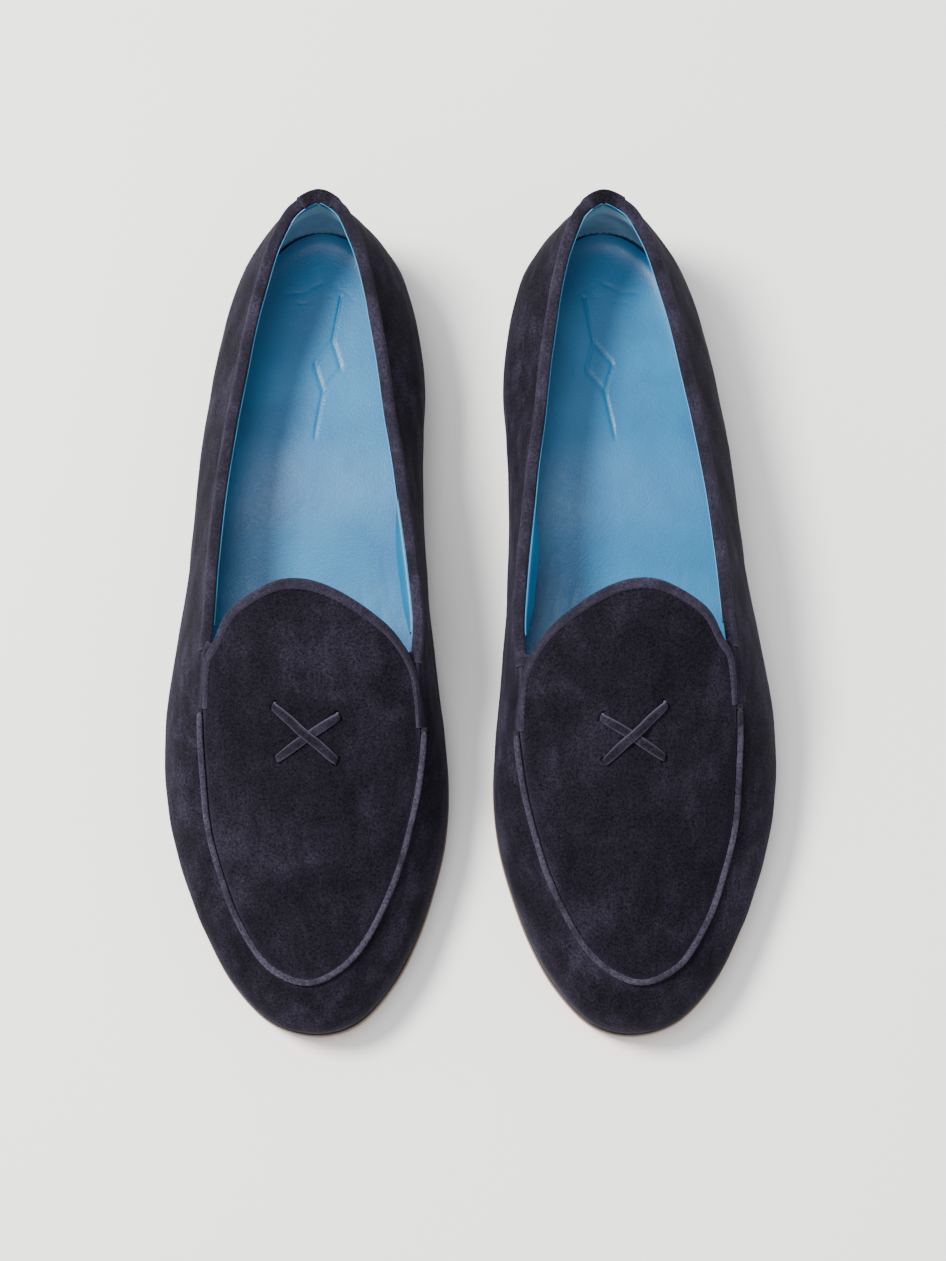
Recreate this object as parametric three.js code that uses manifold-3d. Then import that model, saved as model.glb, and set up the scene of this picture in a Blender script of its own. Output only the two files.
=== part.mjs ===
// A pair of flat suede slip-on loafers: apron front with piped seam, tongue, crossed straps,
// bound topline, leather sole and low heel. Millimetres, +Z up, toes towards -Y, x = 0 midway
// between the shoes, ground at z = 0. One shoe is built in its own plan coordinates
// (m across: minus is the outer side, plus the inner side; y along) and placed twice, mirrored.
import * as THREE from 'three';
import Module from 'manifold-3d';

const wasm = await Module();
wasm.setup();

// ---- driving dimensions -------------------------------------------------------------------
const shoeLength = 300;        // toe to heel, over the sole
const shoeWidth = 101.5;       // at the ball
const upperHeight = 74;        // ground to the topline at the back
const shoeSpacing = 108;       // centre line to centre line
const leftTurn = 2;            // degrees that the left shoe stands turned, toe outwards
const gap = 0.3;               // between neighbouring pieces
const suede = 1.2;             // upper material
const lining = 0.8;            // lining leather
const bindingFold = 0.5;       // binding strip
const bindingDepth = 2.8;      // how far a binding reaches down each face
const counterThick = 1.3;      // heel counter
const puffThick = 0.9;         // toe puff
const soleThick = 4.0;
const randThick = 1.5;
const boardThick = 2.0;
const sockThick = 1.4;
const padThick = 2.0;
const topPiece = 4.0;          // rubber top piece of the heel
const heelLift = 5.0;
const heelBreast = 68;         // y of the heel's front face
const toeSpring = 6.5;
const marginWidth = 9;         // lasting margin turned under the board
const pipingRadius = 1.1;
const strapWidth = 3.3;
const strapThick = 1.1;
const slitLength = strapWidth + 0.9;
const slitWidth = strapThick + 0.9;
const pinRadius = 0.7;

const kx = shoeWidth / 101.5;
const ky = shoeLength / 300;
const kz = upperHeight / 74;
const heelBase = topPiece + heelLift + 2 * gap;

// ---- stations round the shoe: back seam, outer side, toe, inner side ---------------------
// [m, y] of the widest line, inset of the feather line, rise of the widest line above the feather,
// [m, y, z] of the upper's top edge; z null means the edge lies on the crown surface
const stations = [
  [0.5, 148.8, 2.2, 12, 1.0, 143.6, 73.2], [-12.8, 144.6, 2.2, 12, -8.3, 138.9, 72.1],
  [-24.4, 132.9, 2.4, 12, -13.6, 130.5, 70.2], [-31.5, 117.9, 3.0, 12, -18.6, 118.0, 67.1],
  [-37.5, 93.0, 4.0, 13, -25.0, 92.0, 62.9], [-41.8, 66.3, 5.2, 13, -29.8, 66.3, 60.3],
  [-44.4, 41.0, 5.8, 13, -33.8, 41.5, 59.6], [-46.9, 16.0, 5.0, 13, -36.5, 16.0, 58.7],
  [-50.3, -6.0, 3.5, 12, -37.6, -6.0, 57.6], [-52.9, -23.0, 2.0, 11, -38.7, -22.0, 56.2],
  [-54.7, -42.0, 1.2, 10, -40.2, -40.0, null], [-54.3, -60.0, 1.0, 10, -39.5, -58.0, null],
  [-51.6, -78.0, 1.0, 10, -37.4, -77.0, null], [-46.7, -95.0, 1.0, 9, -33.2, -94.0, null],
  [-39.4, -113.0, 0.9, 8, -26.9, -111.0, null], [-29.4, -130.8, 0.8, 7, -18.2, -125.3, null],
  [-15.6, -144.6, 0.7, 6, -9.0, -132.0, null], [0.3, -149.2, 0.7, 6, -0.5, -133.8, null],
  [15.0, -145.0, 0.7, 6, 7.4, -130.6, null], [27.5, -131.0, 0.8, 7, 15.0, -123.6, null],
  [36.1, -114.0, 0.9, 8, 22.4, -112.0, null], [42.3, -95.0, 1.0, 9, 29.4, -95.0, null],
  [45.9, -78.0, 1.0, 10, 34.3, -77.0, null], [46.9, -60.0, 1.0, 10, 37.4, -60.0, null],
  [45.7, -42.0, 1.4, 10, 38.5, -43.0, null], [43.5, -25.0, 2.6, 11, 36.8, -25.0, 55.6],
  [41.3, -7.0, 4.5, 12, 37.6, -8.0, 57.6], [39.2, 14.0, 6.0, 13, 35.4, 14.0, 58.7],
  [37.9, 40.0, 6.8, 13, 31.4, 42.0, 59.6], [38.1, 66.0, 5.8, 13, 27.2, 66.3, 60.3],
  [37.6, 93.0, 4.0, 13, 23.0, 92.0, 62.9], [32.9, 117.9, 3.0, 12, 17.8, 118.0, 67.1],
  [25.6, 132.9, 2.4, 12, 13.6, 130.5, 70.2], [13.8, 144.6, 2.2, 12, 9.2, 138.9, 72.1],
];
const tongueOuter = [[-35.8, -15.4], [-29.6, -6.2], [-15.6, 1.2]];   // free edge, outer to middle
const tongueInner = [[10.2, -1.5], [24.4, -8.9], [32.4, -16.4]];      // middle to inner
const tongueTip = [-3.0, 2.3];

// ---- small vector tools --------------------------------------------------------------------
const V = (x, y, z) => new THREE.Vector3(x, y, z);
const mix = (a, b, t) => a + (b - a) * t;
const clamp01 = (t) => Math.min(1, Math.max(0, t));
const smooth = (a, b, t) => { const s = clamp01((t - a) / (b - a)); return s * s * (3 - 2 * s); };
const wrap = (i, n) => ((i % n) + n) % n;

function catmull(rows, f, closed) {
  const n = rows.length;
  const i = Math.floor(f), t = f - i;
  const pick = (k) => rows[closed ? wrap(k, n) : Math.min(n - 1, Math.max(0, k))];
  const [a, b, c, d] = [pick(i - 1), pick(i), pick(i + 1), pick(i + 2)];
  return b.map((_, k) => 0.5 * (2 * b[k] + (c[k] - a[k]) * t
    + (2 * a[k] - 5 * b[k] + 4 * c[k] - d[k]) * t * t + (3 * b[k] - a[k] - 3 * c[k] + d[k]) * t ** 3));
}

// ---- heights -------------------------------------------------------------------------------
function soleBottom(y) {
  const p = y / ky;
  if (p >= heelBreast) return heelBase;
  if (p >= -20) return heelBase * smooth(-20, heelBreast, p);
  return p >= -78 ? 0 : toeSpring * ((-78 - p) / 72) ** 2;
}
const soleTop = (y) => soleBottom(y) + soleThick;
const featherZ = (y) => soleTop(y) + randThick + 2 * gap;
const boardTop = (y) => featherZ(y) + suede + gap + boardThick;
const sockBase = (y) => boardTop(y) + gap + (padThick + gap) * smooth(28, 46, y / ky);

// crown: arched across, rising towards the instep
function crown(m, y) {
  const px = m / kx, py = y / ky;
  const ridge = 81 + 0.496 * py + 0.00117 * py * py;
  const bend = 0.0095 + 2.8e-7 * (py + 48) ** 2;
  return kz * (ridge - bend * (px + 2 + 0.04 * py) ** 2);
}
function crownNormal(m, y) {
  const e = 0.05;
  return V((crown(m - e, y) - crown(m + e, y)) / (2 * e), (crown(m, y - e) - crown(m, y + e)) / (2 * e), 1)
    .normalize();
}

const rounds = stations.map(([m, y, inset, rise, tm, ty, tz]) => [m * kx, y * ky, inset, rise, tm * kx, ty * ky,
  tz === null ? crown(tm * kx, ty * ky) : tz * kz]);
const N = rounds.length;
const station = (s) => catmull(rounds, wrap(s, 1) * N, true);
function outward(s) {
  const a = station(s - 0.002), b = station(s + 0.002);
  return new THREE.Vector2(-(b[1] - a[1]), b[0] - a[0]).normalize().negate();
}
// plan point a distance inside the widest line
function inside(s, d) {
  const c = station(s), n = outward(s);
  return [c[0] - n.x * d, c[1] - n.y * d];
}

// ---- side wall of the upper: feather (t = 0), widest line, top edge (t = 1) ---------------
const knee = 0.35;
function wallRaw(s, t) {
  const c = station(s), n = outward(s);
  const F = V(c[0] - n.x * c[2], c[1] - n.y * c[2], 0);
  F.z = featherZ(F.y);
  const S = V(c[0], c[1], F.z + c[3]);
  const T = V(c[4], c[5], c[6]);
  const lift = T.z - S.z;
  const low = t < knee;
  const [p, q] = low ? [F, S] : [S, T];
  const u = low ? t / knee : (t - knee) / (1 - knee);
  const front = smooth(20, -60, S.y / ky);
  const a = low ? V((S.x - F.x) * 1.9, (S.y - F.y) * 1.9, c[3] * 0.5) : V(0, 0, lift * 1.25);
  const b = low ? V(0, 0, c[3] * 1.3)
    : V((T.x - S.x) * mix(1.2, 1.7, front), (T.y - S.y) * mix(1.2, 1.7, front), lift * mix(1.05, 0.65, front));
  const u2 = u * u, u3 = u2 * u;
  return V(0, 0, 0).addScaledVector(p, 2 * u3 - 3 * u2 + 1).addScaledVector(a, u3 - 2 * u2 + u)
    .addScaledVector(q, -2 * u3 + 3 * u2).addScaledVector(b, u3 - u2);
}
function wallNormal(s, t) {
  const e = 0.004, h = 0.01;
  const ds = wallRaw(s + e, t).sub(wallRaw(s - e, t));
  const dt = wallRaw(s, Math.min(1, t + h)).sub(wallRaw(s, Math.max(0, t - h)));
  return ds.cross(dt).normalize();
}
const wall = (s, t, depth) => wallRaw(s, t).addScaledVector(wallNormal(s, t), -depth);
// every layer of the wall shares one net of columns and rows, so the facets stay parallel
const columns = 56;
const wallRows = [0, 0.16, 0.35, 0.55, 0.74, 0.88, 1];
function betweenColumns(s, point) {
  const f = s * columns, i = Math.floor(f);
  return point(i / columns).lerp(point((i + 1) / columns), f - i);
}
function facet(s, t, depth) {
  const j = Math.min(wallRows.length - 2, Math.max(0, wallRows.findIndex((k) => k > t + 1e-9) - 1));
  const row = t > 1 - 1e-9 ? wallRows.length - 2 : j;
  const b = (t - wallRows[row]) / (wallRows[row + 1] - wallRows[row]);
  return betweenColumns(s, (k) => wall(k, wallRows[row], depth).lerp(wall(k, wallRows[row + 1], depth), b));
}
function columnsBetween(s0, s1) {
  const list = [s0];
  for (let i = Math.ceil(s0 * columns + 0.12); i < s1 * columns - 0.12; i++) list.push(i / columns);
  return [...list, s1];
}
// wall parameter a distance down from the top edge, and at a height above the sole
function tDown(s, drop) {
  let t = 1, sum = 0, p = wallRaw(s, 1);
  while (sum < drop && t > 0.02) {
    t -= 0.01;
    const q = wallRaw(s, t);
    sum += q.distanceTo(p);
    p = q;
  }
  return t;
}
function tAt(s, z) {
  let a = 0, b = 1;
  for (let i = 0; i < 30; i++) {
    const mid = (a + b) / 2;
    if (wallRaw(s, mid).z < z) a = mid; else b = mid;
  }
  return (a + b) / 2;
}
// extra room between upper and lining: counter at the back, puff at the toe
function packing(s, t) {
  const q = wrap(s + 0.5, 1) - 0.5;
  const back = (1 - smooth(0.145, 0.19, Math.abs(q))) * (1 - smooth(0.74, 0.9, t));
  const toe = (1 - smooth(0.108, 0.15, Math.abs(wrap(s, 1) - 0.5))) * (1 - smooth(0.76, 0.9, t));
  return back * (counterThick + gap) + toe * (puffThick + gap);
}
const liningDepth = (s, t) => suede + gap + packing(s, t);

// ---- solids from rows of points ------------------------------------------------------------
function signedVolume(verts, tris) {
  let sum = 0;
  const a = V(), b = V(), c = V();
  for (const [i, j, k] of tris) sum += a.copy(verts[i]).dot(b.copy(verts[j]).cross(c.copy(verts[k])));
  return sum;
}
function body(verts, tris) {
  const kept = tris.filter(([a, b, c]) => a !== b && b !== c && a !== c);
  return { verts, tris: signedVolume(verts, kept) < 0 ? kept.map(([a, b, c]) => [a, c, b]) : kept };
}
// two matching grids of points joined round their border
function sheet(params, nv, outer, inner) {
  const verts = [], tris = [];
  const nu = params.length - 1;
  const size = (nu + 1) * (nv + 1);
  const at = (side, i, j) => side * size + i * (nv + 1) + j;
  for (const face of [outer, inner]) {
    for (const p of params) for (let j = 0; j <= nv; j++) verts.push(face(p, j));
  }
  const quad = (a, b, c, d) => tris.push([a, b, c], [a, c, d]);
  for (let i = 0; i < nu; i++) {
    for (let j = 0; j < nv; j++) {
      quad(at(0, i, j), at(0, i + 1, j), at(0, i + 1, j + 1), at(0, i, j + 1));
      quad(at(1, i, j), at(1, i, j + 1), at(1, i + 1, j + 1), at(1, i + 1, j));
    }
    quad(at(0, i + 1, 0), at(0, i, 0), at(1, i, 0), at(1, i + 1, 0));
    quad(at(0, i, nv), at(0, i + 1, nv), at(1, i + 1, nv), at(1, i, nv));
  }
  for (let j = 0; j < nv; j++) {
    quad(at(0, 0, j), at(0, 0, j + 1), at(1, 0, j + 1), at(1, 0, j));
    quad(at(0, nu, j + 1), at(0, nu, j), at(1, nu, j), at(1, nu, j + 1));
  }
  return body(verts, tris);
}
// equal closed sections joined one to the next; open ends are capped
function sweep(rings, closed = false) {
  const k = rings[0].length;
  const verts = rings.flat();
  const tris = [];
  for (let i = 0; i < rings.length - (closed ? 0 : 1); i++) {
    const j = (i + 1) % rings.length;
    for (let p = 0; p < k; p++) {
      const q = (p + 1) % k;
      tris.push([i * k + p, i * k + q, j * k + q], [i * k + p, j * k + q, j * k + p]);
    }
  }
  if (!closed) {
    for (const [row, flip] of [[0, true], [rings.length - 1, false]]) {
      const ring = rings[row];
      const normal = V(0, 0, 0);
      ring.forEach((p, i) => {
        const q = ring[(i + 1) % k];
        normal.add(V((p.y - q.y) * (p.z + q.z), (p.z - q.z) * (p.x + q.x), (p.x - q.x) * (p.y + q.y)));
      });
      normal.normalize();
      const u = ring[1].clone().sub(ring[0]).normalize();
      const v = normal.clone().cross(u).normalize();
      const flat = ring.map((p) => new THREE.Vector2(p.dot(u), p.dot(v)));
      for (const [a, b, c] of THREE.ShapeUtils.triangulateShape(flat, [])) {
        const t = [row * k + a, row * k + b, row * k + c];
        tris.push(flip ? [t[0], t[2], t[1]] : t);
      }
    }
  }
  return body(verts, tris);
}

// ---- flat layers, cut from a plan outline ---------------------------------------------------
const knots = [-126, -112, -98, -86, -78, -66, -54, -42, -30, -20, -10, 2, 13, 24, 35, 46, 57, 68, 82, 96, 110, 122];
function across(loop, y) {
  let lo = Infinity, hi = -Infinity;
  loop.forEach((p, i) => {
    const q = loop[(i + 1) % loop.length];
    if ((p[1] - y) * (q[1] - y) > 0 || p[1] === q[1]) return;
    const x = mix(p[0], q[0], (y - p[1]) / (q[1] - p[1]));
    lo = Math.min(lo, x);
    hi = Math.max(hi, x);
  });
  return [lo, hi];
}
const outline = (plan) => Array.from({ length: 260 }, (_, i) => plan(i / 260));
// one section every few millimetres along y, closer together at rounded ends
function layer(plan, low, high, { from = -1e3, to = 1e3, bevel = 0 } = {}) {
  const loop = outline(plan);
  const ys = loop.map((p) => p[1]);
  const y0 = Math.max(from * ky, Math.min(...ys)), y1 = Math.min(to * ky, Math.max(...ys));
  const squareStart = from > -1e3, squareEnd = to < 1e3;
  const rows = [];
  rows.push(...(squareStart ? [y0] : [0.2, 1.4, 4.5, 10, 18].map((d) => y0 + d)));
  rows.push(...knots.map((y) => y * ky).filter((y) => y > y0 + (squareStart ? 4 : 22) && y < y1 - (squareEnd ? 4 : 22)));
  rows.push(...(squareEnd ? [y1] : [18, 10, 4.5, 1.4, 0.2].map((d) => y1 - d)));
  return sweep(rows.map((y) => {
    const [a, b] = across(loop, y);
    const zl = low(y), zh = high(y);
    if (!bevel) return [V(a, y, zl), V(b, y, zl), V(b, y, zh), V(a, y, zh)];
    const e = Math.min(bevel, (b - a) / 5);
    return [V(a + e, y, zl), V(b - e, y, zl), V(b, y, zl + bevel), V(b, y, zh), V(a, y, zh), V(a, y, zl + bevel)];
  }));
}
// plan outline inside the wall at a height, and at a depth from the outer face
const innerPlan = (height, extra) => (s) => {
  const [, y] = inside(s, 5);
  const t = tAt(s, height(y));
  const p = facet(s, t, liningDepth(s, t) + lining + extra);
  return [p.x, p.y];
};
const soleEdge = (extra) => (s) => {
  const c = station(s);
  return inside(s, c[2] - mix(1.0, 1.5, smooth(20, -60, c[1] / ky)) - extra);
};

const pieces = {};
pieces.outsole = layer(soleEdge(0), soleBottom, soleTop, { bevel: 0.8 });
pieces.heel_lift = layer(soleEdge(-0.2), () => topPiece + gap, () => topPiece + gap + heelLift,
  { from: heelBreast });
pieces.heel_top_piece = layer(soleEdge(-0.2), () => 0, () => topPiece, { from: heelBreast });
pieces.insole_board = layer((s) => inside(s, station(s)[2] + suede + 2 * gap),
  (y) => featherZ(y) + suede + gap, boardTop);
pieces.cork_filler = layer((s) => inside(s, station(s)[2] + marginWidth + 2),
  (y) => soleTop(y) + gap, (y) => featherZ(y) + suede, { to: 20 });
pieces.heel_pad = layer(innerPlan(sockBase, 5),
  (y) => boardTop(y) + gap, (y) => sockBase(y) - gap, { from: 48 });
pieces.sock = layer(innerPlan(sockBase, 3 * gap + 0.1),
  sockBase, (y) => sockBase(y) + sockThick);
pieces.shank = sweep(knots.filter((y) => y > 22 && y < 112).map((y) => y * ky).map((y) => {
  const z = soleTop(y) + gap + 0.4, w = 6 * kx;
  const m = -2 * kx;
  return [V(m - w, y, z), V(m + w, y, z), V(m + w, y, z + 1), V(m - w, y, z + 1)];
}));

// rand: a band round the edge
pieces.rand = sweep(Array.from({ length: columns }, (_, i) => {
  const s = i / columns;
  const outerEdge = soleEdge(-0.5)(s), innerEdge = inside(s, station(s)[2] + marginWidth);
  const z = soleTop(outerEdge[1]) + gap, zi = soleTop(innerEdge[1]) + gap;
  return [V(...outerEdge, z), V(...outerEdge, z + randThick), V(...innerEdge, zi + randThick), V(...innerEdge, zi)];
}), true);

// side wrap: lasting margin, feather corner, wall; the two ends meet at the back seam
const backSlit = 0.0006;
const marginEdge = (rise) => (s) => {
  const p = inside(s, station(s)[2] + marginWidth);
  return V(...p, featherZ(p[1]) + rise);
};
const featherCorner = (s) => wallRaw(s, 0).add(V(-outward(s).x * suede, -outward(s).y * suede, suede));
pieces.side_wrap = sheet(columnsBetween(backSlit, 1 - backSlit), wallRows.length,
  (s, j) => (j ? facet(s, wallRows[j - 1], 0) : betweenColumns(s, marginEdge(0))),
  (s, j) => (j > 1 ? facet(s, wallRows[j - 1], suede) : betweenColumns(s, j ? featherCorner : marginEdge(suede))));

// ---- linings and stiffeners behind the wall --------------------------------------------------
function behind(s0, s1, rows, near, thick) {
  const at = (extra) => (s, j) => {
    const t = rows(s)[j];
    return facet(s, t, near(s, t) + extra);
  };
  return sheet(columnsBetween(s0, s1), rows(s0).length - 1, at(0), at(thick));
}
const footT = (s) => { const p = inside(s, 5); return tAt(s, boardTop(p[1]) + gap); };
const joinOuter = 8.75 / N, joinInner = 25.15 / N;
const quarterRows = (s) => [footT(s), 0.35, 0.55, 0.74, 0.88, 1];
pieces.quarter_lining_lateral = behind(0.0008, joinOuter - 0.001, quarterRows, liningDepth, lining);
pieces.quarter_lining_medial = behind(joinInner + 0.001, 0.9992, quarterRows, liningDepth, lining);
pieces.toe_lining = behind(joinOuter + 0.001, joinInner - 0.001,
  (s) => [footT(s), 0.35, 0.55, 0.74, tDown(s, 3.6)], liningDepth, lining);
pieces.heel_counter = behind(-0.135, 0.135, (s) => [footT(s), 0.35, 0.55, 0.72], () => suede + gap, counterThick);
pieces.toe_puff = behind(0.41, 0.59, (s) => [footT(s), 0.35, 0.55, 0.72], () => suede + gap, puffThick);
pieces.heel_grip = behind(-0.083, 0.083,
  (s) => [tAt(s, 25.5 + 90 * Math.abs(s)), 0.55, 0.74, tDown(s, bindingDepth + 1.2)],
  (s, t) => liningDepth(s, t) + lining + gap, lining);

// ---- apron and tongue ------------------------------------------------------------------------
const scaled = (list) => list.map(([m, y]) => [m * kx, y * ky]);
const rimPoints = [
  ...rounds.slice(9, 18).reverse().map((c) => [c[4], c[5]]),   // toe end, outer side, joint
  ...scaled(tongueOuter), [tongueTip[0] * kx, tongueTip[1] * ky], ...scaled(tongueInner),
  ...rounds.slice(18, 26).reverse().map((c) => [c[4], c[5]]),
];
const M = rimPoints.length;
const half = 12;                                               // index of the tongue's tip
const rimAt = (f) => catmull(rimPoints, f, true);
function rimInward(f) {
  const a = rimAt(f - 0.02), b = rimAt(f + 0.02);
  return new THREE.Vector2(b[1] - a[1], -(b[0] - a[0])).normalize();
}
// inset of the apron's edge from the seam line: wider where the edge is bound
const boundFrom = 7.05, boundTo = 17.15;
const edgeInset = (f) => mix(0.6, 2.1, smooth(boundFrom - 0.5, boundFrom, f) * (1 - smooth(boundTo, boundTo + 0.5, f)));
function rimInset(f, extra = 0) {
  const p = rimAt(f), n = rimInward(f), d = edgeInset(wrap(f, M)) + extra;
  return [p[0] + n.x * d, p[1] + n.y * d];
}
function onCrown(m, y, depth) {
  return V(m, y, crown(m, y)).addScaledVector(crownNormal(m, y), -depth);
}
function panel(nv, nu, depth, thick, recess) {
  const at = (below) => (v, j) => {
    const w = mix(0.012, 0.988, v - 0.055 * Math.sin(2 * Math.PI * v));
    const left = rimInset(w * half, recess(w * half));
    const right = rimInset(M - w * (M - half), recess(M - w * (M - half)));
    const u = j / nu;
    return onCrown(mix(left[0], right[0], u), mix(left[1], right[1], u), below);
  };
  return sheet(Array.from({ length: nv + 1 }, (_, i) => i / nv), nu, at(depth), at(depth + thick));
}
const seamOnly = (f) => 1 - smooth(boundFrom - 0.5, boundFrom, f) * (1 - smooth(boundTo, boundTo + 0.5, f));
const panelRows = 18, panelColumns = Math.round(8 * Math.max(1, kx));    // the same in both, so facets stay parallel
pieces.apron = panel(panelRows, panelColumns, 0, suede, () => 0);
pieces.apron_lining = panel(panelRows, panelColumns, suede + gap, lining, (f) => 2.1 + 0.4 * seamOnly(f));

// piping: a round cord lying along the seam
const averageNormal = (f) => {
  const p = rimAt(f);
  const inwardDir = rimInward(f);
  const n = crownNormal(p[0], p[1]);
  return V(n.x + inwardDir.x * 0.5, n.y + inwardDir.y * 0.5, n.z).normalize();
};
const seamPoint = (f) => { const p = rimAt(f); return V(p[0], p[1], crown(p[0], p[1])); };
function seamFrame(f) {
  const tangent = seamPoint(f + 0.03).sub(seamPoint(f - 0.03)).normalize();
  const up = averageNormal(f);
  const side = tangent.clone().cross(up).normalize();
  return { at: seamPoint(f), tangent, up: side.clone().cross(tangent).normalize(), side };
}
const tackOuter = boundFrom, tackInner = boundTo;
const pipingFrom = tackInner + 0.09 - M, pipingTo = tackOuter - 0.09;
pieces.apron_piping = sweep(Array.from({ length: 31 }, (_, i) => {
  const { at, up, side } = seamFrame(mix(pipingFrom, pipingTo, i / 30));
  const centre = at.addScaledVector(up, pipingRadius + gap + 0.1);
  return Array.from({ length: 6 }, (_, k) => {
    const a = (k / 6) * 2 * Math.PI;
    return centre.clone().addScaledVector(up, Math.cos(a) * pipingRadius)
      .addScaledVector(side, Math.sin(a) * pipingRadius);
  });
}));

// folded strip round an edge: o points out of the edge, n out of the face
const foldRoom = 0.2;                                          // beside the gap, for the bow of the flat facets
function fold(o, n, at, stack, front, backLeg) {
  const g = gap, f = bindingFold, r = gap + foldRoom;
  const shape = [[-front, g], [-front, g + f], [r, g + f], [r + f, g - 0.4], [r + f, -stack - r + 0.4],
    [r, -stack - r - f], [-backLeg, -stack - r - f], [-backLeg, -stack - r], [r, -stack - r], [r, g]];
  return shape.map(([a, b]) => at.clone().addScaledVector(o, a).addScaledVector(n, b));
}
const bindingSteps = Math.round(24 * Math.max(1, ky, 1 / kx));      // a longer or sharper edge takes more
pieces.tongue_binding = sweep(Array.from({ length: bindingSteps + 1 }, (_, i) => {
  const f = mix(tackOuter + 0.1, tackInner - 0.1, i / bindingSteps);
  const p = rimInset(f), q0 = rimInset(f - 0.03), q1 = rimInset(f + 0.03);
  const at = onCrown(p[0], p[1], 0);
  const tangent = onCrown(q1[0], q1[1], 0).sub(onCrown(q0[0], q0[1], 0)).normalize();
  const n = crownNormal(p[0], p[1]);
  const o = tangent.clone().cross(n).normalize();
  const inDir = rimInward(f);
  if (o.x * inDir.x + o.y * inDir.y > 0) o.negate();
  return fold(o, n, at, suede + gap + lining, 3.4, 3.4);
}));

// topline bindings and backstay, folded over wrap and lining together
function topFold(s, front, backLeg) {
  const n = wallNormal(s, 1);
  const T = facet(s, 1, 0);
  const up = T.clone().sub(facet(s, 0.96, 0)).normalize();
  const stack = suede + gap + lining, g = gap, f = bindingFold;
  const steps = Math.max(1, Math.round(front / 8));
  const face = (drop, depth) => facet(s, tDown(s, drop), depth);
  const off = (a, b) => T.clone().addScaledVector(n, a).addScaledVector(up, b);
  const drops = Array.from({ length: steps }, (_, i) => front * (1 - i / steps));
  return [...drops.map((d) => face(d, -(g + f))), off(g + f, 0), off(g + f - 0.4, g + f),
    off(-stack - g - f + 0.4, g + f), off(-stack - g - f, 0), face(backLeg, stack + g + f), face(backLeg, stack + g),
    off(-stack - g, g), off(g, g), ...drops.slice().reverse().map((d) => face(d, -g))];
}
const backHalf = 0.021;
const topBinding = (s0, s1) => sweep(columnsBetween(s0, s1).map((s) => topFold(s, bindingDepth, bindingDepth)));
pieces.topline_binding_lateral = topBinding(backHalf + 0.001, 8.72 / N);
pieces.topline_binding_medial = topBinding(25.2 / N, 1 - backHalf - 0.001);
pieces.backstay = sweep(columnsBetween(-backHalf, backHalf).map((s) => topFold(s, 24, bindingDepth)));

// ---- crossed straps, threaded through slits in the apron -------------------------------------
const straps = {
  cross_strap_over: { from: [-13.3, -40.0], to: [8.1, -58.3], hump: strapThick + 2 * gap },
  cross_strap_under: { from: [8.9, -43.6], to: [-12.1, -57.1], hump: 0 },
};
const crossing = [-2.9, -49.6];
const slitBoxes = [];
for (const [name, { from, to, hump }] of Object.entries(straps)) {
  const [a, b] = [from, to].map(([m, y]) => new THREE.Vector2(m * kx, y * ky));
  const length = a.distanceTo(b);
  const dir = b.clone().sub(a).normalize();
  const middle = new THREE.Vector2(crossing[0] * kx, crossing[1] * ky);
  const path = [];
  const rise = strapThick / 2 + gap;
  const add = (d, h) => path.push([d, h]);
  add(0, -suede + 0.15); add(0, 0.1); add(0.35, rise * 0.8); add(1.1, rise);
  for (let i = 1; i < 10; i++) {
    const d = (length * i) / 10;
    const away = Math.abs(d - middle.clone().sub(a).dot(dir));
    add(d, rise + hump * (1 - smooth(strapWidth * 0.8, strapWidth * 2.4, away)));
  }
  add(length - 1.1, rise); add(length - 0.35, rise * 0.8); add(length, 0.1); add(length, -suede + 0.15);
  const centre = path.map(([d, h]) => onCrown(a.x + dir.x * d, a.y + dir.y * d, -h));
  pieces[name] = sweep(centre.map((p, i) => {
    const tangent = centre[Math.min(i + 1, centre.length - 1)].clone().sub(centre[Math.max(i - 1, 0)]).normalize();
    const d = path[i][0];
    const n = crownNormal(a.x + dir.x * d, a.y + dir.y * d);
    const along = V(dir.x, dir.y, 0);
    const side = n.clone().cross(along).normalize();
    const up = tangent.clone().cross(side).normalize();
    return [[-1, -1], [1, -1], [1, 1], [-1, 1]].map(([k, l]) => p.clone()
      .addScaledVector(side, (k * strapWidth) / 2).addScaledVector(up, (l * strapThick) / 2));
  }));
  for (const end of [a, b]) slitBoxes.push({ end, dir });
}

// ---- boolean cuts ------------------------------------------------------------------------------
function toManifold({ verts, tris }) {
  return new wasm.Manifold(new wasm.Mesh({ numProp: 3, vertProperties: new Float32Array(verts.flatMap((p) => [p.x, p.y, p.z])),
    triVerts: new Uint32Array(tris.flat()) }));
}
function fromManifold(solid) {
  const mesh = solid.getMesh();
  const verts = [], tris = [];
  for (let i = 0; i < mesh.vertProperties.length; i += mesh.numProp) verts.push(V(...mesh.vertProperties.slice(i, i + 3)));
  for (let i = 0; i < mesh.triVerts.length; i += 3) tris.push([...mesh.triVerts.slice(i, i + 3)]);
  return body(verts, tris);
}
const cut = (from, tool) => fromManifold(toManifold(from).subtract(toManifold(tool)));
function bar(centre, u, v, w) {
  return sweep([-1, 1].map((k) => [[-1, -1], [1, -1], [1, 1], [-1, 1]].map(([a, b]) => centre.clone()
    .addScaledVector(u, k).addScaledVector(v, a).addScaledVector(w, b))));
}
for (const { end, dir } of slitBoxes) {
  const n = crownNormal(end.x, end.y);
  const side = n.clone().cross(V(dir.x, dir.y, 0)).normalize();
  const along = side.clone().cross(n).normalize();
  pieces.apron = cut(pieces.apron, bar(onCrown(end.x, end.y, suede / 2), n.multiplyScalar(1.6),
    side.multiplyScalar(slitLength / 2), along.multiplyScalar(slitWidth / 2)));
}

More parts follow.
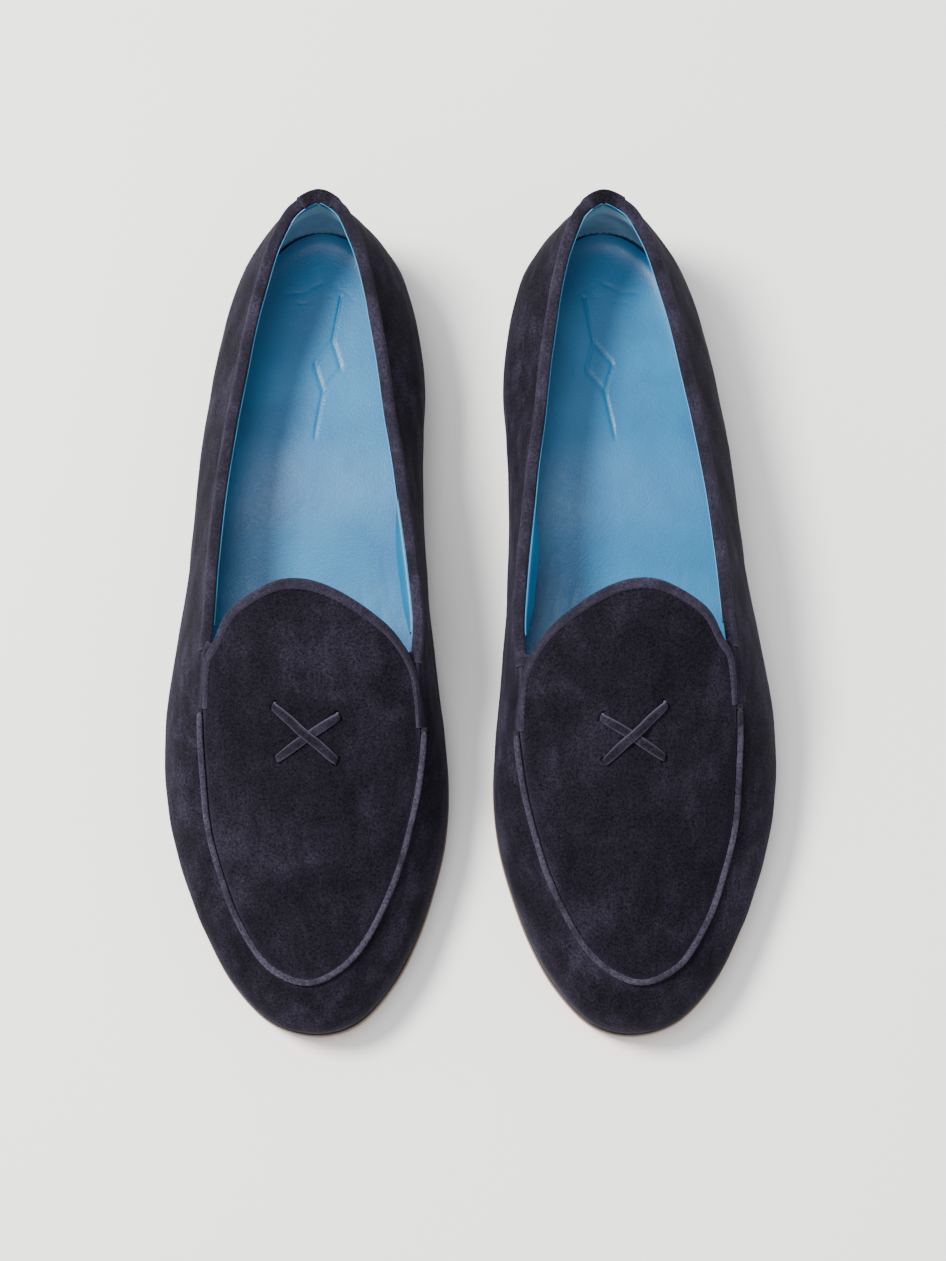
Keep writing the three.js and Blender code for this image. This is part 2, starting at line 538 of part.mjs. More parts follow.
// bar tacks over the seam, across the end of the piping
for (const [name, f] of [['bar_tack_lateral', tackOuter], ['bar_tack_medial', tackInner]]) {
  const { at, tangent, up, side } = seamFrame(f);
  pieces[name] = bar(at.addScaledVector(up, gap + 1.2), tangent.multiplyScalar(0.6), side.multiplyScalar(1.7),
    up.clone().multiplyScalar(0.4));
}

// heel pins: head flush in the top piece, shank up into the lift
const turned = (profile, segments) => {
  const rings = profile.map(([r, z]) => Array.from({ length: segments }, (_, k) => V(
    r * Math.cos((k / segments) * 2 * Math.PI), r * Math.sin((k / segments) * 2 * Math.PI), z)));
  return sweep(rings);
};
const moved = (piece, m, y) => ({ verts: piece.verts.map((p) => V(p.x + m, p.y + y, p.z)), tris: piece.tris });
const pinSpots = [[0.5, 134], [-15, 104], [15, 104]].map(([m, y]) => [m * kx, y * ky]);
const pinShape = turned([[1.5, 0.3], [1.5, 1.0], [pinRadius, 1.0], [pinRadius, topPiece + heelLift * 0.7]], 8);
const pinHole = turned([[1.9, -1], [1.9, 1.4], [pinRadius + 0.4, 1.4], [pinRadius + 0.4, topPiece + heelLift * 0.7 + 0.5]], 8);
pinSpots.forEach(([m, y], i) => {
  pieces[`heel_pin_${i + 1}`] = moved(pinShape, m, y);
  const hole = moved(pinHole, m, y);
  pieces.heel_top_piece = cut(pieces.heel_top_piece, hole);
  pieces.heel_lift = cut(pieces.heel_lift, hole);
});

// ---- colours and placing -------------------------------------------------------------------------
const looks = {
  suede: { color: '#353040', roughness: 0.95, metalness: 0 },
  suedePiping: { color: '#454154', roughness: 0.9, metalness: 0 },
  blueLeather: { color: '#63a2c6', roughness: 0.5, metalness: 0 },
  blueGrip: { color: '#4f87a4', roughness: 0.7, metalness: 0 },
  soleLeather: { color: '#b08a63', roughness: 0.6, metalness: 0 },
  darkRand: { color: '#25222b', roughness: 0.6, metalness: 0 },
  rubber: { color: '#1c1b1d', roughness: 0.85, metalness: 0 },
  board: { color: '#a98b6b', roughness: 0.9, metalness: 0 },
  cork: { color: '#a87b4c', roughness: 0.95, metalness: 0 },
  foam: { color: '#d8d2c4', roughness: 0.95, metalness: 0 },
  steel: { color: '#8b8f94', roughness: 0.4, metalness: 1 },
  brass: { color: '#b8923c', roughness: 0.35, metalness: 1 },
  thread: { color: '#3f3b4d', roughness: 0.8, metalness: 0 },
};
const lookOf = {
  outsole: 'soleLeather', heel_lift: 'soleLeather', heel_top_piece: 'rubber', insole_board: 'board',
  cork_filler: 'cork', heel_pad: 'foam', sock: 'blueLeather', shank: 'steel', rand: 'darkRand',
  quarter_lining_lateral: 'blueLeather', quarter_lining_medial: 'blueLeather', toe_lining: 'blueLeather',
  apron_lining: 'blueLeather', heel_grip: 'blueGrip', heel_counter: 'board', toe_puff: 'board',
  apron_piping: 'suedePiping', bar_tack_lateral: 'thread', bar_tack_medial: 'thread',
  heel_pin_1: 'brass', heel_pin_2: 'brass', heel_pin_3: 'brass',
};

function meshOf(name, { verts, tris }, mirrored, look) {
  const geometry = new THREE.BufferGeometry();
  geometry.setAttribute('position', new THREE.BufferAttribute(new Float32Array(
    verts.flatMap((p) => [mirrored ? -p.x : p.x, p.y, p.z])), 3));
  geometry.setIndex(tris.flatMap(([a, b, c]) => (mirrored ? [a, c, b] : [a, b, c])));
  geometry.computeVertexNormals();
  const mesh = new THREE.Mesh(geometry, new THREE.MeshStandardMaterial(looks[look]));
  mesh.name = name;
  return mesh;
}

const pair = new THREE.Group();
pair.name = 'loafers';
for (const [side, mirrored] of [['right', false], ['left', true]]) {
  const shoe = new THREE.Group();
  shoe.name = `${side}_shoe`;
  shoe.position.x = (mirrored ? 0.5 : -0.5) * shoeSpacing;
  shoe.rotation.z = mirrored ? THREE.MathUtils.degToRad(leftTurn) : 0;
  for (const [name, piece] of Object.entries(pieces)) {
    shoe.add(meshOf(`${side}_${name}`, piece, mirrored, lookOf[name] ?? 'suede'));
  }
  pair.add(shoe);
}
// origin on the ground, in the middle of the pair's own box
pair.updateMatrixWorld(true);
const middle = new THREE.Box3().setFromObject(pair, true).getCenter(V());
pair.position.set(-middle.x, -middle.y, 0);

export default pair;
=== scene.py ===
import math
import bpy
import bmesh
import numpy as np
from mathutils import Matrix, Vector


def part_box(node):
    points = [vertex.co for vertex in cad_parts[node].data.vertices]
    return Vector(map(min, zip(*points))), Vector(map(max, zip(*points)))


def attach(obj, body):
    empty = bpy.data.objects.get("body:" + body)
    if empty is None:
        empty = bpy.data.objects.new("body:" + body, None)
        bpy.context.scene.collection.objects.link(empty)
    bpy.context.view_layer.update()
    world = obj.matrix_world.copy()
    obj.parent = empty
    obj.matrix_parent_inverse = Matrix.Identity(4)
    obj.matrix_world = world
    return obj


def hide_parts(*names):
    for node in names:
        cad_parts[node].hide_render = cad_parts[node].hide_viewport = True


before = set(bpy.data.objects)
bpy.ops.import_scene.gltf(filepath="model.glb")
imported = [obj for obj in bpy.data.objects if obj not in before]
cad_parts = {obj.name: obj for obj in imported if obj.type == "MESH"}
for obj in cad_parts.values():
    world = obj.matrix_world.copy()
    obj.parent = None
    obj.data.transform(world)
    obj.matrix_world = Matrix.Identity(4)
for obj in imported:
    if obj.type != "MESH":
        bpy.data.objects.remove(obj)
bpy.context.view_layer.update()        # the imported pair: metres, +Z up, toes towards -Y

# A pair of suede slip-ons. One shoe is worked out in its own plan, in millimetres: m goes across,
# minus on the outer side, and y goes from toe to heel. Each shape is then placed for both feet.

mm = 0.001
clearance = 0.3                     # between neighbouring leathers

# small sums

def mixed(a, b, t):
    return a + (b - a) * t


def eased(a, b, value):
    t = np.clip((value - a) / (b - a), 0, 1)
    return t * t * (3 - 2 * t)


def unit(vectors):
    return vectors / np.maximum(np.linalg.norm(vectors, axis=-1, keepdims=True), 1e-12)


def runAlong(line):
    # length covered so far along each line of points
    gone = np.cumsum(np.linalg.norm(np.diff(line, axis=-2), axis=-1), axis=-1)
    return np.concatenate([np.zeros(gone.shape[:-1] + (1,)), gone], -1)


def onCurve(rows, f):
    # smooth closed curve through rows of numbers
    i = np.floor(f).astype(int)
    t = (f - i)[..., None]
    a, b, c, d = (rows[np.mod(i + k, len(rows))] for k in (-1, 0, 1, 2))
    return 0.5 * (2 * b + (c - a) * t + (2 * a - 5 * b + 4 * c - d) * t ** 2
                  + (3 * b - a - 3 * c + d) * t ** 3)


def softNoise(points, size, seed, waves=7):
    # slow seeded ripple, about -1 to 1, with swells of roughly the given size in mm
    rng = np.random.default_rng(seed)
    total = np.zeros(points.shape[:-1])
    for _ in range(waves):
        way = unit(rng.normal(size=3)) * 2 * math.pi / (size * rng.uniform(0.7, 1.6))
        total += np.sin(points @ way + rng.uniform(0, 6.28))
    return total / math.sqrt(waves) / 1.3


# the last: heights and side wall

last = {"soleThick": 4.0, "randThick": 1.5, "boardThick": 2.0, "sockThick": 1.4, "padThick": 2.0,
        "topPiece": 4.0, "heelLift": 5.0, "heelBreast": 68, "toeSpring": 6.5, "margin": 9,
        "upper": 1.2, "lining": 0.8, "counter": 1.3, "puff": 0.9, "knee": 0.35}
heelBase = last["topPiece"] + last["heelLift"] + 2 * clearance

# round the shoe from the back seam by the outer side and the toe to the inner side:
# widest line m, y, inset of the feather line, rise of the widest line, top edge m, y, z
stations = [
    (0.5, 148.8, 2.2, 12, 1.0, 143.6, 73.2), (-12.8, 144.6, 2.2, 12, -8.3, 138.9, 72.1),
    (-24.4, 132.9, 2.4, 12, -13.6, 130.5, 70.2), (-31.5, 117.9, 3.0, 12, -18.6, 118.0, 67.1),
    (-37.5, 93.0, 4.0, 13, -25.0, 92.0, 62.9), (-41.8, 66.3, 5.2, 13, -29.8, 66.3, 60.3),
    (-44.4, 41.0, 5.8, 13, -33.8, 41.5, 59.6), (-46.9, 16.0, 5.0, 13, -36.5, 16.0, 58.7),
    (-50.3, -6.0, 3.5, 12, -37.6, -6.0, 57.6), (-52.9, -23.0, 2.0, 11, -38.7, -22.0, 56.2),
    (-54.7, -42.0, 1.2, 10, -40.2, -40.0, None), (-54.3, -60.0, 1.0, 10, -39.5, -58.0, None),
    (-51.6, -78.0, 1.0, 10, -37.4, -77.0, None), (-46.7, -95.0, 1.0, 9, -33.2, -94.0, None),
    (-39.4, -113.0, 0.9, 8, -26.9, -111.0, None), (-29.4, -130.8, 0.8, 7, -18.2, -125.3, None),
    (-15.6, -144.6, 0.7, 6, -9.0, -132.0, None), (0.3, -149.2, 0.7, 6, -0.5, -133.8, None),
    (15.0, -145.0, 0.7, 6, 7.4, -130.6, None), (27.5, -131.0, 0.8, 7, 15.0, -123.6, None),
    (36.1, -114.0, 0.9, 8, 22.4, -112.0, None), (42.3, -95.0, 1.0, 9, 29.4, -95.0, None),
    (45.9, -78.0, 1.0, 10, 34.3, -77.0, None), (46.9, -60.0, 1.0, 10, 37.4, -60.0, None),
    (45.7, -42.0, 1.4, 10, 38.5, -43.0, None), (43.5, -25.0, 2.6, 11, 36.8, -25.0, 55.6),
    (41.3, -7.0, 4.5, 12, 37.6, -8.0, 57.6), (39.2, 14.0, 6.0, 13, 35.4, 14.0, 58.7),
    (37.9, 40.0, 6.8, 13, 31.4, 42.0, 59.6), (38.1, 66.0, 5.8, 13, 27.2, 66.3, 60.3),
    (37.6, 93.0, 4.0, 13, 23.0, 92.0, 62.9), (32.9, 117.9, 3.0, 12, 17.8, 118.0, 67.1),
    (25.6, 132.9, 2.4, 12, 13.6, 130.5, 70.2), (13.8, 144.6, 2.2, 12, 9.2, 138.9, 72.1),
]


def soleBottom(y):
    shank = heelBase * eased(-20, last["heelBreast"], y)
    spring = last["toeSpring"] * (np.maximum(0, -78 - y) / 72) ** 2
    return np.where(y >= -20, shank, spring)


def soleTop(y):
    return soleBottom(y) + last["soleThick"]


def feather(y):
    return soleTop(y) + last["randThick"] + 2 * clearance


def boardTop(y):
    return feather(y) + last["upper"] + clearance + last["boardThick"]


def sockBase(y):
    return boardTop(y) + clearance + (last["padThick"] + clearance) * eased(28, 46, y)


def crown(m, y):
    # arched across the forefoot, rising towards the instep
    ridge = 81 + 0.496 * y + 0.00117 * y * y
    bend = 0.0095 + 2.8e-7 * (y + 48) ** 2
    return ridge - bend * (m + 2 + 0.04 * y) ** 2


def crownNormal(m, y):
    e = 0.05
    return unit(np.stack([(crown(m - e, y) - crown(m + e, y)) / (2 * e),
                          (crown(m, y - e) - crown(m, y + e)) / (2 * e), np.ones_like(m)], -1))


def onCrown(plan, depth):
    m, y = plan[..., 0], plan[..., 1]
    return np.stack([m, y, crown(m, y)], -1) - crownNormal(m, y) * np.asarray(depth)[..., None]


rounds = np.array([row[:6] + ((crown(row[4], row[5]) if row[6] is None else row[6]),)
                   for row in stations], float)
count = len(rounds)


def station(s):
    return onCurve(rounds, np.mod(s, 1) * count)


def outward(s):
    step = station(s + 0.002)[..., :2] - station(s - 0.002)[..., :2]
    return unit(np.stack([step[..., 1], -step[..., 0]], -1))


def inside(s, d):
    return station(s)[..., :2] - outward(s) * np.asarray(d)[..., None]


def wallRaw(s, t):
    # feather line at t 0, widest line at the knee, top edge at 1
    s, t = np.broadcast_arrays(np.asarray(s, float), np.asarray(t, float))
    c, n = station(s), outward(s)
    low = np.stack([c[..., 0] - n[..., 0] * c[..., 2], c[..., 1] - n[..., 1] * c[..., 2], 0 * s], -1)
    low[..., 2] = feather(low[..., 1])
    wide = np.stack([c[..., 0], c[..., 1], low[..., 2] + c[..., 3]], -1)
    top = c[..., 4:7]
    lift = top[..., 2] - wide[..., 2]
    front = eased(20, -60, wide[..., 1])
    under = (t < last["knee"])[..., None]
    zero = 0 * s
    outUnder = np.stack([(wide[..., 0] - low[..., 0]) * 1.9, (wide[..., 1] - low[..., 1]) * 1.9,
                         c[..., 3] * 0.5], -1)
    intoUnder = np.stack([zero, zero, c[..., 3] * 1.3], -1)
    outOver = np.stack([zero, zero, lift * 1.25], -1)
    lean = mixed(1.2, 1.7, front)
    intoOver = np.stack([(top[..., 0] - wide[..., 0]) * lean, (top[..., 1] - wide[..., 1]) * lean,
                         lift * mixed(1.05, 0.65, front)], -1)
    p, q = np.where(under, low, wide), np.where(under, wide, top)
    a, b = np.where(under, outUnder, outOver), np.where(under, intoUnder, intoOver)
    u = np.where(under, t[..., None] / last["knee"], (t[..., None] - last["knee"]) / (1 - last["knee"]))
    u2, u3 = u * u, u ** 3
    return p * (2 * u3 - 3 * u2 + 1) + a * (u3 - 2 * u2 + u) + q * (3 * u2 - 2 * u3) + b * (u3 - u2)


def wallNormal(s, t):
    along = wallRaw(s + 0.004, t) - wallRaw(s - 0.004, t)
    up = wallRaw(s, np.minimum(1, t + 0.01)) - wallRaw(s, np.maximum(0, t - 0.01))
    return unit(np.cross(along, up))


def wall(s, t, depth):
    return wallRaw(s, t) - wallNormal(s, t) * np.broadcast_to(depth, np.broadcast(s, t).shape)[..., None]


def tDown(s, drop):
    # wall parameter a distance down from the top edge
    s = np.atleast_1d(s)
    ts = np.linspace(1, 0.02, 99)
    run = runAlong(wallRaw(s[:, None], ts[None, :]))
    drop = np.broadcast_to(drop, s.shape)
    return np.array([np.interp(d, row, ts) for d, row in zip(drop, run)])


def tAt(s, height):
    low, high = np.zeros_like(s), np.ones_like(s)
    for _ in range(24):
        middle = (low + high) / 2
        below = wallRaw(s, middle)[..., 2] < height
        low, high = np.where(below, middle, low), np.where(below, high, middle)
    return (low + high) / 2


def packing(s, t):
    q = np.mod(s + 0.5, 1) - 0.5
    back = (1 - eased(0.145, 0.19, np.abs(q))) * (1 - eased(0.74, 0.9, t))
    toe = (1 - eased(0.108, 0.15, np.abs(np.mod(s, 1) - 0.5))) * (1 - eased(0.76, 0.9, t))
    return back * (last["counter"] + clearance) + toe * (last["puff"] + clearance)


def liningDepth(s, t):
    return last["upper"] + clearance + packing(s, t)


# rim of the apron and tongue

tongueOuter = [(-35.8, -15.4), (-29.6, -6.2), (-15.6, 1.2)]
tongueInner = [(10.2, -1.5), (24.4, -8.9), (32.4, -16.4)]
rimPoints = np.array([tuple(row[4:6]) for row in rounds[9:18][::-1]] + tongueOuter + [(-3.0, 2.3)]
                     + tongueInner + [tuple(row[4:6]) for row in rounds[18:26][::-1]], float)
rimCount = len(rimPoints)
boundFrom, boundTo = 7.05, 17.15
joinOuter, joinInner, backHalf = 8.75 / count, 25.15 / count, 0.021


def rimAt(f):
    return onCurve(rimPoints, np.mod(f, rimCount))


def rimInward(f):
    step = rimAt(f + 0.02) - rimAt(f - 0.02)
    return unit(np.stack([step[..., 1], -step[..., 0]], -1))


def bound(f):
    f = np.mod(f, rimCount)
    return eased(boundFrom - 0.5, boundFrom, f) * (1 - eased(boundTo, boundTo + 0.5, f))


def rimInset(f, extra=0.0):
    # the bound edge stands close beside the wrap at both ends and further in round the free tongue
    g = np.mod(f, rimCount)
    free = eased(7.9, 8.6, g) * (1 - eased(15.6, 16.3, g))
    d = mixed(0.6, mixed(1.15, 2.1, free), bound(f)) + extra
    return rimAt(f) + rimInward(f) * np.broadcast_to(d, np.shape(f))[..., None]


def seamFrame(f):
    # place, tangent, up and side on the seam round the apron; up leans a little inwards
    plan = rimAt(f)
    at = onCrown(plan, np.zeros_like(f))
    tangent = unit(onCrown(rimAt(f + 0.03), 0 * f) - onCrown(rimAt(f - 0.03), 0 * f))
    lean = crownNormal(plan[..., 0], plan[..., 1])
    lean[..., :2] += rimInward(f) * 0.5
    side = unit(np.cross(tangent, unit(lean)))
    return at, tangent, unit(np.cross(side, tangent)), side


# skins, slabs and sweeps

def joined(*parts):
    # (points, [faces], edge) sets put into one
    points, faces, edges, start = [], [], [], 0
    for part, sets, edge in parts:
        points.append(part)
        faces += [f + start for f in sets]
        edges.append(edge)
        start += len(part)
    return np.concatenate(points), faces, np.concatenate(edges)


def ringFaces(rings, across, closed, openAcross=False):
    i = np.arange(rings if closed else rings - 1)[:, None]
    j = np.arange(across - 1 if openAcross else across)[None, :]
    i2, j2 = (i + 1) % rings, (j + 1) % across
    return np.stack([i * across + j, i * across + j2, i2 * across + j2, i2 * across + j], -1).reshape(-1, 4)


def skin(outer, inner, cut=0.3, closed=False, first=True):
    # a sheet of leather from its two faces: rows run along it, columns across, cut edges rounded;
    # first is False where the first column isn't an edge
    thick = np.linalg.norm(outer - inner, axis=-1, keepdims=True)
    lips = []
    for end, near in ((-1, -2), (0, 1)):
        out = outer[:, end] - outer[:, near]
        span = np.linalg.norm(out, axis=-1, keepdims=True)
        out, bulge = out / np.maximum(span, 1e-9), thick[:, end] * cut * (first or end == -1)
        pull = out * np.minimum(bulge, span * 0.6)
        outer[:, end] -= pull
        inner[:, end] -= pull
        lips.append(np.stack([mixed(outer[:, end], inner[:, end], f) + out * bulge * k
                              for f, k in ((0.14, 0.62), (0.5, 1.0), (0.86, 0.62))], 1))
    cols = outer.shape[1]
    rings = np.concatenate([outer, lips[0], inner[:, ::-1], lips[1][:, ::-1]], 1)
    rows, across = rings.shape[:2]
    faces = [ringFaces(rows, across, closed)]
    if not closed:
        for row, flip in ((0, True), (rows - 1, False)):
            base, j = row * across, np.arange(cols - 1)
            quads = np.stack([base + j, base + j + 1, base + 2 * cols + 1 - j, base + 2 * cols + 2 - j], -1)
            a, b = base + cols - 1, base + 2 * cols + 2
            ends = [np.array([[a, a + 1, a + 3, a + 4], [b, b + 1, b + 3, base]])]
            tips = np.array([[a + 1, a + 2, a + 3], [b + 1, b + 2, b + 3]])
            faces += [q[:, ::-1] if flip else q for q in [quads, *ends, tips]]
    run = runAlong(outer)
    near = np.minimum(run, run[:, -1:] - run)
    if not closed:
        along = runAlong(outer.mean(1))
        near = np.minimum(near, np.minimum(along, along[-1] - along)[:, None])
    edge = np.exp(-near / 0.9)
    ones = np.ones((rows, 3))
    edge = np.concatenate([edge, ones, edge[:, ::-1], ones], 1)
    return rings.reshape(-1, 3), faces, edge.reshape(-1)


def sweep(rings, closed=False, edge=None):
    # closed sections joined one to the next, open ends drawn shut
    if not closed:
        caps = [rings[k].mean(0) + (rings[k] - rings[k].mean(0)) * 0.02 for k in (0, -1)]
        rings = np.concatenate([caps[0][None], rings, caps[1][None]])
        edge = None if edge is None else np.concatenate([edge[:1], edge, edge[-1:]])
    rows, across = rings.shape[:2]
    faces = [ringFaces(rows, across, closed)]
    if not closed:
        faces += [np.arange(across)[None, ::-1], np.arange(across)[None] + (rows - 1) * across]
    values = np.zeros((rows, across)) if edge is None else edge
    return rings.reshape(-1, 3), faces, values.reshape(-1)


def slab(rim, spine, profile, low, high):
    # a flat layer: rings from the spine below, round the edge, and back to the spine on top
    rings, edges = [], []
    for share, inset, level, lift in profile:
        plan = mixed(spine, rim(inset), share)
        z = mixed(low(plan[:, 1]), high(plan[:, 1]), level) + lift
        rings.append(np.concatenate([plan, z[:, None]], 1))
        edges.append(np.full(len(plan), math.exp(-max(0.0, inset) / 1.5) if share > 0.999 else 0.0))
    grid = np.stack(rings, 1)
    return (grid.reshape(-1, 3), [ringFaces(len(spine), len(profile), True, True)],
            np.stack(edges, 1).reshape(-1))


def tidyFaces(points, faces):
    # faces turned so that they look outwards
    total = 0.0
    for f in faces:
        a = points[f[:, 0]]
        for k in range(1, f.shape[1] - 1):
            total += np.einsum("ij,ij->", a, np.cross(points[f[:, k]], points[f[:, k + 1]]))
    return [f[:, ::-1] for f in faces] if total < 0 else faces


def stitches(places, ways, ups, look):
    # small thread bars lying on the work, each sunk at its two ends
    length, radius, lift = look["length"], look["thread"] / 2, look["lift"]
    bend = [(-0.5, 0.35, -0.9), (-0.42, 0.85, -0.2), (-0.2, 1.0, 0.1), (0, 1.0, 0.16),
            (0.2, 1.0, 0.1), (0.42, 0.85, -0.2), (0.5, 0.35, -0.9)]
    sides, corners = np.cross(ways, ups), 6
    perStitch = len(bend) * corners
    rings = []
    for at, wide, high in bend:
        for k in range(corners):
            a = k / corners * 2 * math.pi
            rings.append(places + ways * (at * length) + sides * (math.cos(a) * radius * wide)
                         + ups * (lift + high * radius + math.sin(a) * radius * wide))
    points = np.stack(rings, 1)
    template = ringFaces(len(bend), corners, False)
    caps = [np.arange(corners)[None, ::-1], np.arange(corners)[None] + perStitch - corners]
    starts = (np.arange(len(places)) * perStitch)[:, None, None]
    faces = [(template[None] + starts).reshape(-1, 4)]
    faces += [(cap[None] + starts).reshape(-1, corners) for cap in caps]
    return points.reshape(-1, 3), faces, np.zeros(len(places) * perStitch)


def evenly(line, spacing, inset=0.0):
    # places a stitch length apart along a line of points, the way the line runs there, and what
    # picks other values of the line at the same places
    run = runAlong(line)
    marks = np.arange(inset + spacing / 2, run[-1] - inset, spacing)
    pick = lambda values: np.stack([np.interp(marks, run, values[:, k]) for k in range(3)], -1)
    way = unit(np.gradient(line, axis=0))
    return pick(line), unit(pick(way)), pick


def settle(points):
    # the same slow unevenness for every layer of the upper, as leather takes over a last
    amount = 0.22 * eased(14, 26, points[..., 2])
    shift = np.stack([softNoise(points, 34, seed) for seed in (11, 12, 13)], -1)
    return points + shift * amount[..., None]


# placing for both feet

pinSpots = [(0.5, 134), (-15, 104), (15, 104)]


def footing(side):
    # where the shoe's own plan lies in the frame, read from its three heel pins
    pins = []
    for k in (1, 2, 3):
        low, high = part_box(f"{side}_heel_pin_{k}")
        pins.append(np.array((low + high) / 2)[:2])
    (rearM, rearY), (leftM, pairY), (rightM, _) = pinSpots
    across = (pins[2] - pins[1]) / ((rightM - leftM) * mm)
    along = (pins[0] - (pins[1] + pins[2]) / 2 - across * rearM * mm) / ((rearY - pairY) * mm)
    return pins[0] - across * rearM * mm - along * rearY * mm, across, along


footings = {side: footing(side) for side in ("right", "left")}
made = {}


def placedFor(side, points):
    origin, across, along = footings[side]
    flat = points[:, :1] * across * mm + points[:, 1:2] * along * mm + origin
    return np.concatenate([flat, points[:, 2:3] * mm], 1)


def meshFrom(name, points, faces, edge, smoothAngle):
    mesh = bpy.data.meshes.new(name)
    sizes = np.concatenate([np.full(len(f), f.shape[1]) for f in faces])
    starts = np.concatenate([[0], np.cumsum(sizes)[:-1]])
    loops = np.concatenate([f.reshape(-1) for f in faces]).astype(np.int32)
    mesh.vertices.add(len(points))
    mesh.vertices.foreach_set("co", points.astype(np.float32).reshape(-1))
    mesh.loops.add(len(loops))
    mesh.loops.foreach_set("vertex_index", loops)
    mesh.polygons.add(len(sizes))
    mesh.polygons.foreach_set("loop_start", starts.astype(np.int32))
    mesh.update(calc_edges=True)
    mesh.validate()
    mesh.attributes.new("edge", "FLOAT", "POINT").data.foreach_set("value", edge.astype(np.float32))
    mesh.shade_smooth()
    mesh.set_sharp_from_angle(angle=math.radians(smoothAngle))
    return mesh


def makePair(part, shape, material, stands=None, smoothAngle=48, weld=False, loose=False):
    # one piece for each foot, riding on its own shoe; stands lists the CAD parts that it stands for
    points, faces, edge = shape
    points = points if loose else settle(points)
    faces = tidyFaces(points, faces)
    for side in ("right", "left"):
        turned = [f[:, ::-1] for f in faces] if side == "left" else faces
        mesh = meshFrom(f"{side}_{part}_shape", placedFor(side, points), turned, edge, smoothAngle)
        if weld:
            work = bmesh.new()
            work.from_mesh(mesh)
            bmesh.ops.remove_doubles(work, verts=work.verts, dist=2e-6)
            work.to_mesh(mesh)
            work.free()
        piece = bpy.data.objects.new(f"{side}_{part}_made", mesh)
        bpy.context.scene.collection.objects.link(piece)
        mesh.materials.append(material)
        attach(piece, f"{side}_shoe")
        for node in ([part] if stands is None else stands):
            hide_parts(f"{side}_{node}")
        made[f"{side}_{part}"] = piece


def carve(part, side, shapes):
    # takes solid shapes out of a made piece
    piece = made[f"{side}_{part}"]
    points, faces, edge = joined(*shapes)
    placed = placedFor(side, points)
    faces = tidyFaces(placed, faces)
    tool = bpy.data.objects.new("tool", meshFrom("tool_shape", placed, faces, edge, 30))
    bpy.context.scene.collection.objects.link(tool)
    cut = piece.modifiers.new("cut", "BOOLEAN")
    cut.operation, cut.solver, cut.object = "DIFFERENCE", "EXACT", tool
    result = bpy.data.meshes.new_from_object(piece.evaluated_get(bpy.context.evaluated_depsgraph_get()))
    piece.modifiers.remove(cut)
    piece.data = result
    bpy.data.objects.remove(tool)
    result.set_sharp_from_angle(angle=math.radians(48))


# materials

def linear(hexColour):
    values = [int(hexColour[k:k + 2], 16) / 255 for k in (1, 3, 5)]
    return tuple(v / 12.92 if v <= 0.04045 else ((v + 0.055) / 1.055) ** 2.4 for v in values) + (1.0,)


def addNode(tree, kind, settings=None, links=None):
    # a number picks an input by its place, a text an attribute or a named input
    node = tree.nodes.new("ShaderNode" + kind)
    for key, value in (settings or {}).items():
        if key == "stops":
            ramp = node.color_ramp
            while len(ramp.elements) < len(value):
                ramp.elements.new(0.5)
            for element, (at, colour) in zip(ramp.elements, value):
                element.position, element.color = at, colour
        elif isinstance(key, int) or key in node.inputs:
            node.inputs[key].default_value = value
        else:
            setattr(node, key, value)
    for key, source in (links or {}).items():
        tree.links.new(source, node.inputs[key])
    return node


def perMm(size):
    return 1 / (size * mm)          # noise scale whose swells are about this size in mm


def blankMaterial(name, surface):
    material = bpy.data.materials.new(name)
    material.use_nodes = True
    tree = material.node_tree
    tree.nodes.clear()
    out = addNode(tree, "OutputMaterial")
    shader = addNode(tree, "BsdfPrincipled", surface)
    tree.links.new(shader.outputs[0], out.inputs[0])
    place = addNode(tree, "TexCoord").outputs["Object"]
    return material, tree, shader, place


napped = {"deep": "#0d0b11", "body": "#15121b", "raised": "#211e29", "edge": "#3a3646",
          "cloud": 26, "brush": 6.0, "nap": 0.8, "flecks": 0.85, "mix": 0.35, "spread": 0.17}


